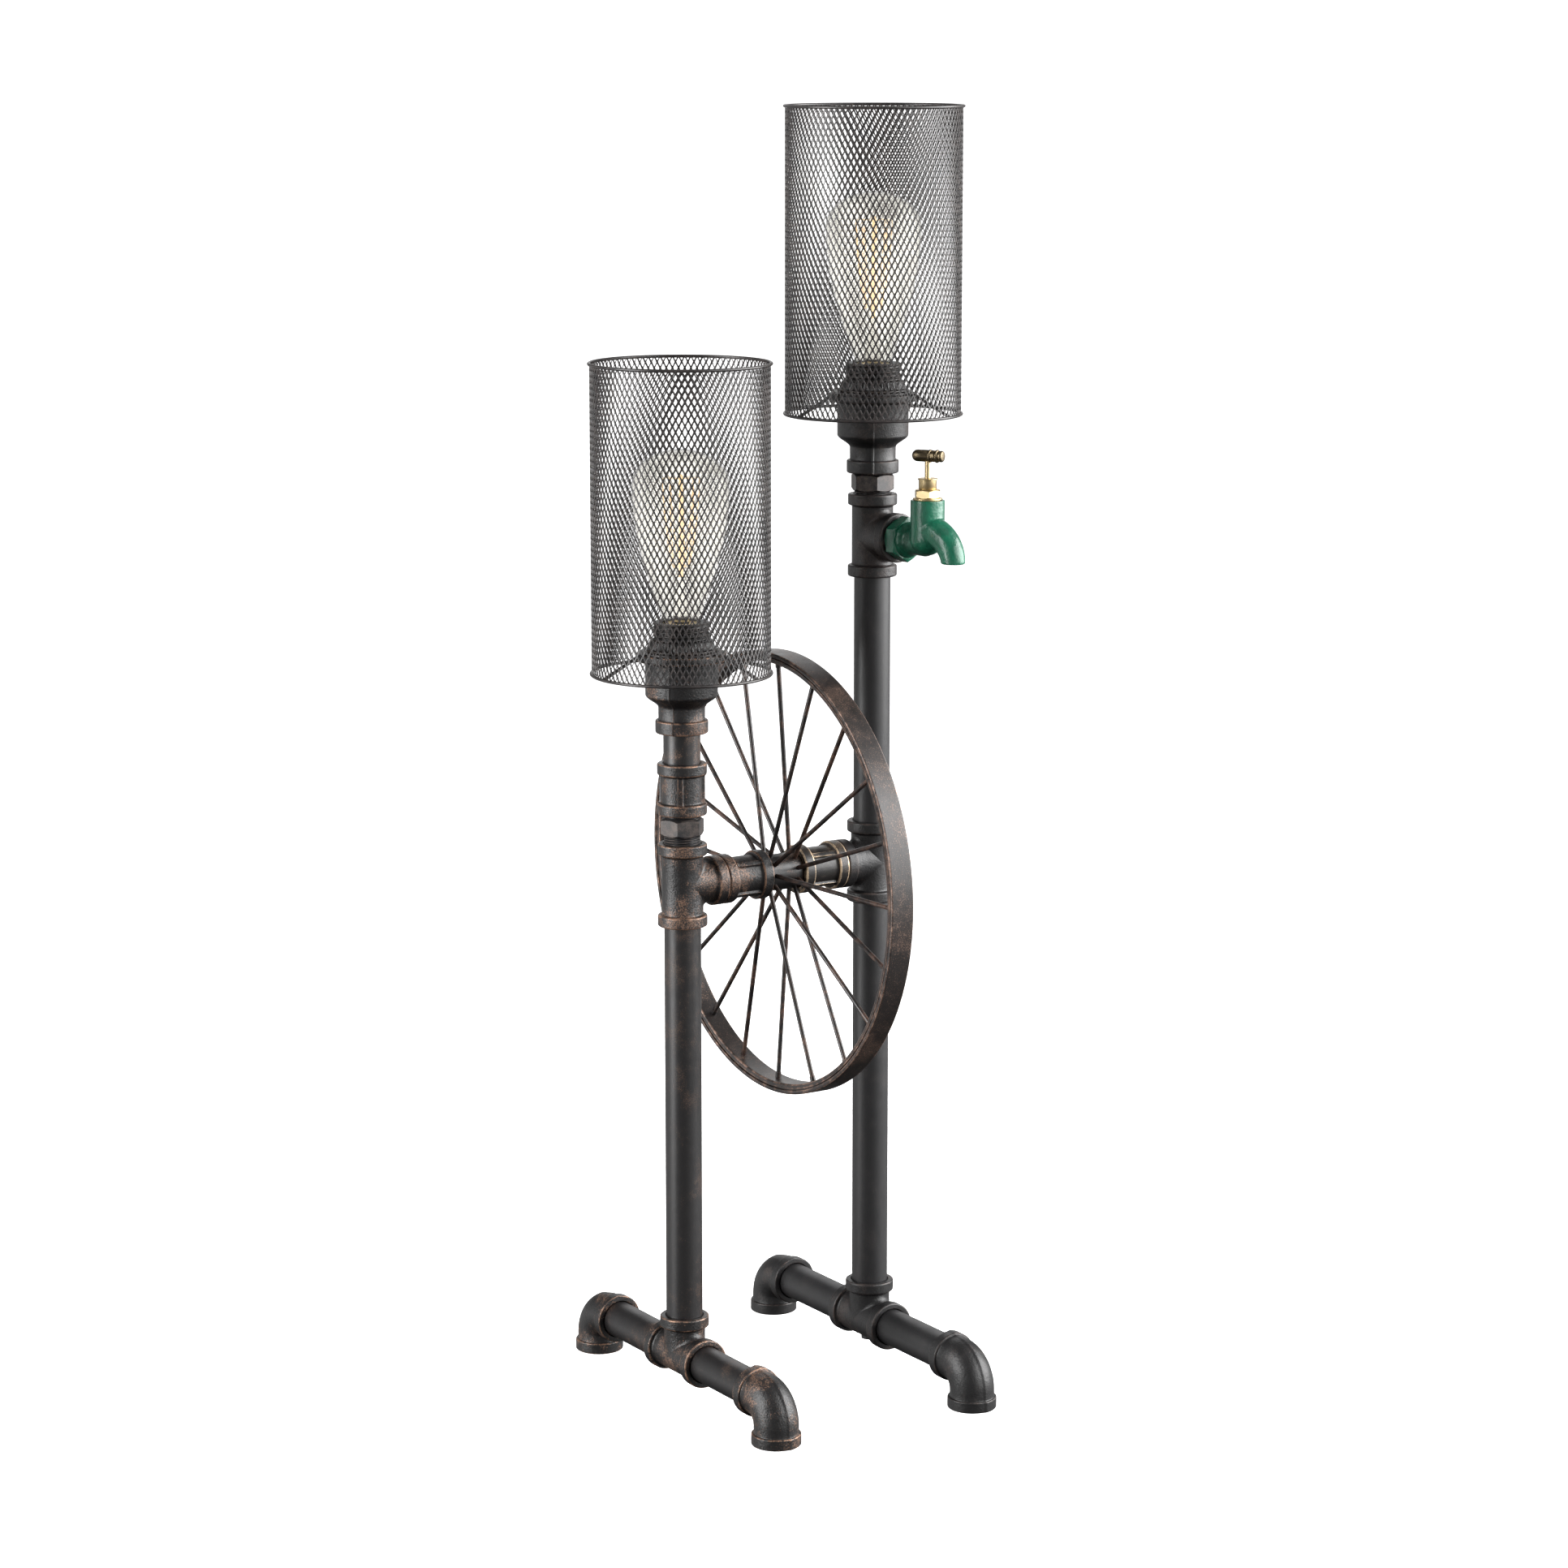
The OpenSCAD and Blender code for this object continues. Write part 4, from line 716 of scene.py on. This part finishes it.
# %% Lampholders and ring nuts
HOLDER_R, HOLDER_PITCH, KNURLS = 20.3, 2.9, 60
lacquer = iron["lampholder_lacquer"]
for post in POSTS:
    place = post_at[post]
    z0, z1 = low_high(f"{post}_lampholder")
    rows = np.concatenate([
        [[14.2, z0], [HOLDER_R, z0]], even(HOLDER_R, np.linspace(z0 + 1, z1 - 1.2, 140)),
        arc((19.5, z1 - 0.8), 0.8, 0, 90, 4), arc((14.7, z1 - 0.8), 0.8, 90, 180, 4),
        [[13.9, z1 - 20], [13.9, z0]],
    ])
    shell = lathe(rows, 96, thread(HOLDER_PITCH, 1.1, z1 - 19, z1 - 1.0), place=place)
    dress(f"{post}_lampholder", [skin(shell)], lacquer, "holder_black", sharp=50)
    z0, z1 = low_high(f"{post}_ring_nut")
    rows = np.concatenate([
        [[20.4, z0], [25.2, z0]], arc((25.0, z0 + 1.0), 1.0, -90, 60, 6),
        [[24.0, z0 + 2.4], [22.6, z1 - 1.0]], arc((21.7, z1 - 0.6), 0.6, 20, 90, 4), [[20.4, z1]],
    ])
    grip = lambda a, r, z: 0.25 * np.cos(a * KNURLS) * (r > 22.3) * (r < 24.6)
    dress(f"{post}_ring_nut", [skin(lathe(rows, 240, grip, place=place))], lacquer, "holder_black")

# %% [markdown]
# The shade is expanded metal: a sheet slit and pulled into diamonds, rolled to a cylinder and welded to
# a wire at each end. Here it is two families of slim strips that climb round the cylinder in opposite
# directions. Where two strips meet they grow wider, as the real bonds do, and each strip leans a
# little from the sheet, so that its edge catches light.

# %% Shades
MESH_R, RIM_R, TOP_WIRE_R, LOW_WIRE_R = 63.8, 64.5, 1.15, 1.1
DIAMONDS_ROUND, DIAMONDS_UP, STRIP_W, STRIP_T, STRIP_LEAN = 90, 26, 1.1, 0.62, 0.5


def strips(rings):
    """One skin of many strips with closed ends, from their sections: rings[strip, along, corner]."""
    k, n, m = rings.shape[:3]
    ends = np.arange(m), (n - 1) * m + np.arange(m)[::-1]
    one = np.concatenate([grid_faces(n, m, close_along=False), ends])
    return facing_out(rings.reshape(-1, 3), (np.arange(k)[:, None, None] * n * m + one).reshape(-1, 4))


def lattice(z0, z1, place):
    """Strip k of a family winds at the angle a = 2 pi (k + h t) / DIAMONDS_ROUND, where t counts half
    diamonds up the wall and h is 1/2 or -1/2. Its section is a rhomb: STRIP_W along the wall, widest
    at each crossing, and STRIP_T through it."""
    halves = 2 * DIAMONDS_UP
    t = np.linspace(0, halves, halves * 2 + 1)
    z = z0 + (z1 - z0) * t / halves
    rise = (z1 - z0) / halves
    wide = (STRIP_W * (1 + 0.4 * np.cos(np.pi * t) ** 8) / 2)[:, None]
    families = []
    for hand in (0.5, -0.5):
        a = 2 * np.pi * (np.arange(DIAMONDS_ROUND)[:, None] + hand * t) / DIAMONDS_ROUND
        outward, onward = polar(1.0, a, 0.0), polar(1.0, a + np.pi / 2, 0.0)
        run = hand * 2 * np.pi * MESH_R / DIAMONDS_ROUND
        slant = np.hypot(rise, run)
        side = onward * (rise / slant) + np.array([0, 0, -run / slant])
        lean = side * np.cos(STRIP_LEAN) + outward * np.sin(STRIP_LEAN) * np.sign(hand)
        thin = np.cross(lean, np.cross(side, outward)) * STRIP_T / 2
        centre = outward * MESH_R + z[:, None] * np.array([0, 0, 1]) + place
        corners = [centre + lean * wide, centre + thin, centre - lean * wide, centre - thin]
        families.append(strips(np.stack(corners, 2)))
    return families


def ring_wire(wire_r, z, place):
    """A wire bent to a circle: a torus."""
    return skin(lathe(arc((RIM_R, z), wire_r, 0, 360, 15)[:-1], 160, place=place))


def unit(v):
    """Vectors brought to the length 1."""
    return v / np.maximum(np.linalg.norm(v, axis=-1, keepdims=True), 1e-9)


def capped(P):
    """The grid P with a pole in the middle of its first row and of its last, as a skin."""
    first, last = (np.repeat(row.mean(0)[None, None], P.shape[1], 1) for row in (P[0], P[-1]))
    return skin(np.concatenate([first, P, last]), close_along=False)


def arm_skin(points, width, thick, place, at):
    """A flat strip bent along points (distance from the axis, height), turned to the angle at. Its
    section is an oval squared off by raising cosine and sine to the power 0.4."""
    way = unit(np.gradient(points, axis=0))
    q = np.radians(np.arange(0, 360, 30))
    flat, high = (np.sign(c) * np.abs(c) ** 0.4 * size / 2
                  for c, size in ((np.cos(q), width), (np.sin(q), thick)))
    r = points[:, None, 0] - way[:, None, 1] * high
    z = points[:, None, 1] + way[:, None, 0] * high
    P = np.stack([r, np.broadcast_to(flat, r.shape), z], -1)
    return capped(set_at(P, axes((0, 0, 1), (np.cos(at), np.sin(at), 0)), place))


# Both from the bell's mouth: the carrier plate's profile, and an arm's fall from the plate to the wire
PLATE = np.array([[20.5, 0], [29.2, 0], [29.35, 0.65], [29.2, 1.3], [20.5, 1.3]])
FALL = np.array([[25.5, 0.65], [29, 0.65], [32.5, 0.65], [34.2, 0.3],
                 [36, -1.0], [61, -14.0], [63.0, -14.9], [64.6, -15.2]])
for post in POSTS:
    place = post_at[post]
    z0, z1 = low_high(f"{post}_shade_mesh")
    dress(f"{post}_shade_mesh", lattice(z0 + 1.0, z1 - 1.0, place), iron["shade_gunmetal"], "shade_metal")
    top_wire = [ring_wire(TOP_WIRE_R, z1 - 1.2, place)]
    dress(f"{post}_shade_top_wire", top_wire, iron["shade_wire"], "shade_metal")
    mouth = [0, low_high(f"{post}_bell")[1]]
    carrier = [skin(lathe(PLATE + mouth, place=place)), ring_wire(LOW_WIRE_R, z0 + 1.1, place)]
    carrier += [arm_skin(FALL + mouth, 5.0, 1.2, place, np.radians(at)) for at in (-62, 58, 178)]
    dress(f"{post}_shade_carrier", carrier, iron["shade_wire"], "shade_metal")

# %% [markdown]
# The bulbs are lit, but the room is bright, so the glow is only a veil: the glass gives off a little
# light, most at its belly, by a value stored on its vertices, and filament and rod a warmer light.

# %% Finishes: glass and filament
def plain_finish(name, colour, metallic, rough, bump_scale=0, bump_height=0.0, vary=0.12):
    """A finish of one colour with slight cloudiness, and a grain of bump_height in millimetres."""
    f = Nodes(bpy.data.materials.new(name))
    cloud = f.noise(160, 4)
    darker, lighter = (tuple(min(1, c * k) for c in colour) for k in (1 - vary, 1 + vary))
    f.shade(Base_Color=f.mix(cloud, darker, lighter), Metallic=metallic,
            Roughness=f.math("MULTIPLY_ADD", cloud, 0.16, rough - 0.08))
    if bump_scale:
        f.shade(Normal=f.bump(f.noise(bump_scale), bump_height))
    return f


glass = plain_finish("clear_glass", (1.0, 0.98, 0.945), 0.0, 0.09, vary=0.02)
glass.shade(Transmission_Weight=1.0, IOR=1.28, Emission_Color=(1.0, 0.965, 0.91, 1),
            Emission_Strength=glass.math("MULTIPLY", glass.attribute("glow"), 0.10))
filament = plain_finish("filament_wire", (0.80, 0.54, 0.28), 0.0, 0.5)
filament.shade(Emission_Color=(1.0, 0.74, 0.44, 1), Emission_Strength=0.4)
lit_stem = plain_finish("lit_stem_glass", (0.84, 0.62, 0.34), 0.0, 0.2)
lit_stem.shade(Emission_Color=(1.0, 0.76, 0.44, 1), Emission_Strength=0.35)
print("finishes", len(bpy.data.materials))

# %% [markdown]
# The bulb is pear-shaped clear glass blown thin. Its profile is a sine from the neck to the widest
# place and a quarter ellipse over the crown, given twice, a wall's thickness apart. The cage filament
# hangs between two rings of hooks on the glass stem: a bent wire that goes up and down many times.

# %% Bulbs
BULB_TOP, WIDEST_AT, BULB_R, NECK_R, GLASS_T = 124.0, 99.0, 34.75, 12.6, 1.0
CAGE_LOW, CAGE_HIGH, CAGE_LOW_R, CAGE_HIGH_R, CAGE_RUNS, HOOKS = 40.0, 103.0, 6.0, 13.5, 18, 8


def glass_rows(inset):
    """Half profile of the glass over its cap."""
    low, wide, top = NECK_R - inset, BULB_R - inset, BULB_TOP - inset
    z = np.linspace(0, WIDEST_AT, 28)
    side = np.stack([low + (wide - low) * np.sin(np.pi / 2 * z / WIDEST_AT), z], 1)
    q = np.radians(np.linspace(0, 90, 18))[1:]
    crown = np.stack([wide * np.cos(q), WIDEST_AT + (top - WIDEST_AT) * np.sin(q)], 1)
    return np.concatenate([side, crown])


def wire_skin(points, radius, sides=8):
    """A round wire along points: its section stands square to the path at each point."""
    way = unit(np.gradient(points, axis=0))
    first = unit(np.cross(way, [0.31, 0.24, 0.92]))
    second = np.cross(way, first)
    a = angles(sides)[:, None]
    return capped(points[:, None] + radius * (np.cos(a) * first[:, None] + np.sin(a) * second[:, None]))


def cage_path():
    """The filament: straight runs between foot and head of the cage, bowed out a little half-way."""
    k = np.arange(CAGE_RUNS + 1)
    a = 2 * np.pi * (k / CAGE_RUNS) * 0.94
    r = np.where(k % 2 == 0, CAGE_LOW_R, CAGE_HIGH_R)
    stops = polar(r, a, np.where(k % 2 == 0, CAGE_LOW, CAGE_HIGH))
    t = np.linspace(0, CAGE_RUNS, CAGE_RUNS * 8 + 1)
    path = np.stack([np.interp(t, k, stops[:, q]) for q in range(3)], 1)
    bow = np.sin(np.pi * (t % 1)) * 1.6
    path[:, :2] *= 1 + (bow / np.maximum(np.hypot(path[:, 0], path[:, 1]), 1))[:, None]
    return path


def hook_path(a, out, height):
    """A hook from the rod out to the filament at the angle a, arched a little."""
    r = np.array([0.5, out * 0.5, out * 0.85, out])
    return polar(r, a, height + np.array([0, 0.6, 0.8, 0.2]))


STEM = [[0, 0], [6.0, 0], [5.4, 8], [4.0, 18], [2.2, 27], [1.6, 33], [0, 33]]
ROD = [[0, 33.1], [1.6, 33.1], [1.4, 60], [1.2, 102], [1.9, 104], [1.3, 106], [0, 106.5]]
for post in POSTS:
    cap_z = low_high(f"{post}_bulb_cap")[1]
    place = post_at[post] + [0, 0, cap_z]
    walls = lathe(np.concatenate([glass_rows(0), glass_rows(GLASS_T)[::-1]]), place=place)
    bulb = dress(f"{post}_bulb_glass", [skin(walls)], glass, "bulb_glass", sharp=60)
    height = read(bulb.data.vertices, "co", 3)[:, 2] / MM - cap_z
    veil = np.sin(np.pi * np.clip(height / BULB_TOP, 0, 1)) ** 2
    bulb.data.attributes.new("glow", "FLOAT", "POINT").data.foreach_set("value", veil)
    cage = [wire_skin(cage_path() + place, 0.28, 6)]
    make_piece(f"{post}_filament_wire", cage, [f"{post}_bulb_filament"], filament, "filament")
    stem, rod = (skin(lathe(rows, n, place=place), False) for rows, n in ((STEM, 32), (ROD, 24)))
    hooks = [wire_skin(hook_path(a, out + 0.1, height) + place, 0.16, 5)
             for a in angles(HOOKS) + np.pi / HOOKS
             for height, out in ((CAGE_LOW, CAGE_LOW_R), (CAGE_HIGH, CAGE_HIGH_R))]
    make_piece(f"{post}_bulb_stem", [stem], [], glass, "bulb_glass")
    make_piece(f"{post}_filament_rod", [rod] + hooks, [], lit_stem, "filament")

# %% [markdown]
# The wheel is a rolled steel rim with a groove along each side, twenty straight spokes that lean in
# turn to either end of the hub, and a hub cut from the same pipe as the posts. It rides on the wheel's
# body, so it spins with it.

# %% Wheel
WHEEL_R, half = low_high("wheel_rim")[1] - axle_z, low_high("wheel_rim", 0)[1]
RIM_IN, HUB_BORE_R = WHEEL_R - 7.6, 9.05
SPOKES, SPOKE_R, SPOKE_END_R, SPOKE_LEAN = 20, 1.7, 2.15, 9.5
centre = np.array([0, 0, axle_z])
side = np.concatenate([
    [[RIM_IN, half - 2.4]], arc((RIM_IN + 1.4, half - 2.0), 1.4, 180, 90, 5),
    [[WHEEL_R - 4.1, half - 0.6], [WHEEL_R - 3.95, half - 1.6]],
    [[WHEEL_R - 3.05, half - 1.6], [WHEEL_R - 2.95, half - 0.5]],
    arc((WHEEL_R - 2.5, half - 0.5), 0.5, 180, 90, 4), arc((WHEEL_R - 0.9, half - 0.9), 0.9, 90, 0, 5),
])
crown = even(WHEEL_R, np.linspace(half - 1.6, 1.6 - half, 7))
rim = lathe(np.concatenate([side, crown, turned_over(side)]), 320, turn=ALONG_X, place=centre)
dress("wheel_rim", [skin(rim)], iron["wheel_bronze"], "wheel_bronze", body="wheel", sharp=45)

spokes = []
for k in range(SPOKES):
    a = np.radians(360 / SPOKES * k)
    out = np.array([0, np.cos(a), np.sin(a)])
    root = out * (PIPE_R - 0.4) + [SPOKE_LEAN if k % 2 else -SPOKE_LEAN, 0, 0]
    line = np.linspace(root, out * (RIM_IN + 0.6), 14) + centre
    thick_end = np.linspace(line[-2] + 0.55 * (line[-1] - line[-2]), line[-1], 4)
    spokes += [wire_skin(line, SPOKE_R, 14), wire_skin(thick_end, SPOKE_END_R, 14)]
dress("wheel_spokes", spokes, iron["spoke_bronze"], "wheel_bronze", body="wheel", sharp=50)
hub = lathe(tube_loop(PIPE_R, HUB_BORE_R, *low_high("wheel_hub", 0), 0.6), turn=ALONG_X, place=centre)
dress("wheel_hub", [skin(hub)], iron["hub_bronze"], "wheel_bronze", body="wheel")

# %% [markdown]
# The tap's body is a casting in glossy green enamel. Barrel, ball, collar, shoulder and spout are
# simple skins, but the real one has no line between them. A voxel remesh melts them together and a few
# rounds of smoothing give the cast fillets. The hexagon and the thread stay as exact skins.

# %% Tap body
def melted(skins, voxel, rounds):
    """Joins skins into one by a voxel remesh, then smooths it; returns it as a skin in millimetres."""
    V, F = joined(skins)
    thing = add_object("melt", new_mesh("melt", V * MM, F))
    grid = thing.modifiers.new("grid", "REMESH")
    grid.mode, grid.voxel_size = "VOXEL", voxel * MM
    soft = thing.modifiers.new("soft", "SMOOTH")
    soft.factor, soft.iterations = 0.5, rounds
    done = bpy.data.meshes.new_from_object(thing.evaluated_get(bpy.context.evaluated_depsgraph_get()))
    V, F = read(done.vertices, "co", 3) / MM, read(done.loops, "vertex_index", 1, int).reshape(-1, 4)
    bpy.data.objects.remove(thing)
    bpy.data.meshes.remove(done)
    return V, F


def spout_rows(reach, rise, drop, root, mouth, steps=26, sides=64):
    """Round section along a quarter ellipse, its radius falling from root to mouth, then the bore."""
    t = np.linspace(0, np.pi / 2, steps)
    centre = np.stack([reach * np.sin(t), 0 * t, (rise + drop) * np.cos(t) - drop], 1)
    way = unit(np.stack([reach * np.cos(t), 0 * t, -(rise + drop) * np.sin(t)], 1))
    up = np.stack([-way[:, 2], 0 * t, way[:, 0]], 1)
    r = root + (mouth - root) * (t / t[-1]) ** 0.8
    a = angles(sides)
    section = lambda c, u, q: c + q * (np.outer(np.cos(a), [0, 1.0, 0]) + np.outer(np.sin(a), u))
    rings = [section(centre[0], up[0], 0.0)] + [section(c, u, q) for c, u, q in zip(centre, up, r)]
    end, deep, last = centre[-1], centre[-1] + [0, 0, 7], up[-1]
    rings += [section(end, last, mouth - 2.2), section(deep, last, mouth - 2.6), section(deep, last, 0.0)]
    return np.array(rings)


BALL_R, BALL_LIFT, SHOULDER_R, INLET_FROM, INLET_TO = 12.6, 3.2, 10.6, 17.5, 33.0
in_valve = np.array([VALVE_OUT, 0, 0])
top = low_high("tap_bonnet")[0] + 7.5 - tap_z
barrel = lathe([[0, 33], [13.2, 33], [13.2, 42], [12.4, 44.2], [10.9, 46], [10.2, 49], [10.2, VALVE_OUT],
                [0, VALVE_OUT]], 64, turn=ALONG_X)
half_round = arc((0, 0), 1.0, -90, 90, 25)
ball = lathe(BALL_R * half_round, 64, place=in_valve + [0, 0, BALL_LIFT])
rows = [[0, 0], [12.3, 0], [12.4, top], [10.0, top], [10.0, top - 5], [0, top - 5]]
collar = lathe(rows, 64, place=in_valve)
shoulder = lathe(SHOULDER_R * half_round, 64, place=in_valve + [7.5, 0, 7.5])
spout = spout_rows(reach=28.5, rise=9.4, drop=12.6, root=11.5, mouth=8.7) + in_valve
cast = melted([skin(P, False) for P in (barrel, ball, collar, shoulder, spout)], voxel=0.55, rounds=12)
inlet = screw_skin(PIPE_R, 6.8, INLET_FROM, INLET_TO, PIPE_STEP, PITCH, 0.9, turn=ALONG_X)
tap_hex = hex_skin(14.4, 31.9, 41.4, 7.0, np.radians(90), ALONG_X, chamfer=0.45)
tap_place = post_at["back"] + [0, 0, tap_z]
tap_skins = [(set_at(V, tap_turn, tap_place), F) for V, F in (cast, inlet, tap_hex)]
print("melted tap body", len(cast[0]), "vertices")

# %% [markdown]
# The enamel is thick and glossy, a little uneven from the casting below, and chipped to pale primer in
# small spots, mostly on edges.

# %% Green enamel
green = Nodes(bpy.data.materials.new("green_enamel"))
cloud, speck = green.noise(90, 4), green.noise(420, 3, 0.65)
deep = green.mix(green.ramp(cloud, 0.3, 0.7), (0.0028, 0.088, 0.047), (0.006, 0.138, 0.074))
edges = green.math("MULTIPLY", green.attribute("rub"), 0.04)
chip = green.ramp(green.math("ADD", speck, edges), 0.73, 0.79)
waves = green.math("MULTIPLY", green.noise(150), 1.6)
uneven = green.math("ADD", waves, green.math("MULTIPLY", green.noise(520, 2), 0.5))
green.shade(Base_Color=green.mix(chip, deep, (0.17, 0.29, 0.22)), Coat_Weight=0.2, Coat_Roughness=0.12,
            Roughness=green.math("MULTIPLY_ADD", speck, 0.20, 0.24), Normal=green.bump(uneven, 0.6, 0.7))
dress("tap_body", tap_skins, green, "tap_green", sharp=32)

# %% [markdown]
# The headgear is turned brass: a hexagon bonnet on a flange, a gland nut with a rolled rim, the slim
# spindle, and a cross bar with round ends and two polished rings. Spindle and bar ride on the body that
# works the switch.

# %% Tap headgear
bright_brass = plain_finish("bright_brass", (0.60, 0.47, 0.26), 1.0, 0.36, 900, 0.03)
aged_brass = plain_finish("aged_brass", (0.155, 0.122, 0.076), 1.0, 0.36, 700, 0.04, 0.3)
HANDLE = "tap_handle_and_spindle"
valve = middle("tap_spindle") * [1, 1, 0]
spindle_r = np.ptp(low_high("tap_spindle", 0)) / 2
bore = spindle_r + 0.08
b0, b1 = low_high("tap_bonnet")
bonnet = [
    screw_skin(9.0, bore, b0, b0 + 7.6, 0.3, 1.4, 0.5, 64, place=valve),
    skin(lathe(tube_loop(10.5, bore, b0 + 7.5, b0 + 8.9, 0.3), place=valve)),
    hex_skin(8.7, b0 + 8.9, b1, bore, np.radians(-118), place=valve),
]
dress("tap_bonnet", bonnet, bright_brass, "tap_brass", sharp=30)
g0, g1 = low_high("tap_gland_nut")
gland_rows = np.concatenate([
    [[bore, g0 + 0.1], [6.2, g0 + 0.1], [6.5, g0 + 0.5], [6.5, g1 - 1.6], [6.6, g1 - 1.2], [7.1, g1 - 1.05]],
    arc((6.75, g1 - 0.6), 0.5, -50, 80, 5), [[6.3, g1], [bore, g1]],
])
dress("tap_gland_nut", [skin(lathe(gland_rows, place=valve))], bright_brass, "tap_brass")
s0, s1 = low_high("tap_spindle")
rows = [[0, s0], [spindle_r, s0], [spindle_r, s1 - 0.4], [spindle_r - 0.4, s1], [0, s1]]
dress("tap_spindle", [skin(lathe(rows, 48, place=valve), False)], bright_brass, "tap_brass", body=HANDLE)

BAR_LENGTH, BAR_AT = 24.5, np.radians(-60)
half = BAR_LENGTH / 2
bar_r = np.ptp(low_high("tap_handle")) / 2
neck_r = bar_r - 0.7
bead = lambda at: arc((bar_r - 0.55, at), 1.0, -55, 55, 7)
bar_rows = np.concatenate([
    [[0, -half]], arc((0.0, bar_r - half), bar_r, -80, 0, 12),
    [[bar_r, half - 12.0], [neck_r, half - 11.4]], bead(half - 10.4), [[neck_r, half - 9.3]],
    even(bar_r - 0.1, [half - 8.8, half - 6.2]), [[neck_r, half - 5.8]], bead(half - 4.8),
    [[neck_r, half - 3.7], [bar_r - 0.3, half - 3.3]],
    arc((bar_r - 1.6, half - 1.4), 1.4, 0, 90, 6), [[0, half]],
])
bar_turn = axes((np.cos(BAR_AT), np.sin(BAR_AT), 0), (0, 0, 1))
bar = lathe(bar_rows, 64, turn=bar_turn, place=valve + [0, 0, middle("tap_handle")[2]])
dress("tap_handle", [skin(bar, False)], aged_brass, "tap_bar", body=HANDLE, sharp=50)

# %% [markdown]
# What is left of the solids stays as it is: wires, switch, bushes, caps and contacts are inside and
# need only a finish.

# %% Finishes of the inner solids
cap_brass = plain_finish("cap_brass", (0.60, 0.43, 0.18), 1.0, 0.34, 500, 0.05)
rubber = plain_finish("black_rubber", (0.02, 0.02, 0.021), 0.0, 0.55, 700, 0.05)
plastic = plain_finish("switch_plastic", (0.03, 0.03, 0.032), 0.0, 0.45, 900, 0.03)
steel = plain_finish("axle_steel", (0.22, 0.21, 0.20), 1.0, 0.38, 600, 0.04)
for finish, nodes in (
    (cap_brass, ("front_contacts", "back_contacts", "front_bulb_cap", "back_bulb_cap")),
    (steel, ("axle_close_nipples", "axle_bushes", "axle_tube")),
    (plastic, ("rotary_switch",)),
    (rubber, ("cord_bush", "supply_wire", "front_lamp_wire", "back_lamp_wire")),
):
    for node in nodes:
        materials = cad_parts[node].data.materials
        materials.clear()
        materials.append(finish.owner)
    print(finish.owner.name, "on", ", ".join(nodes))
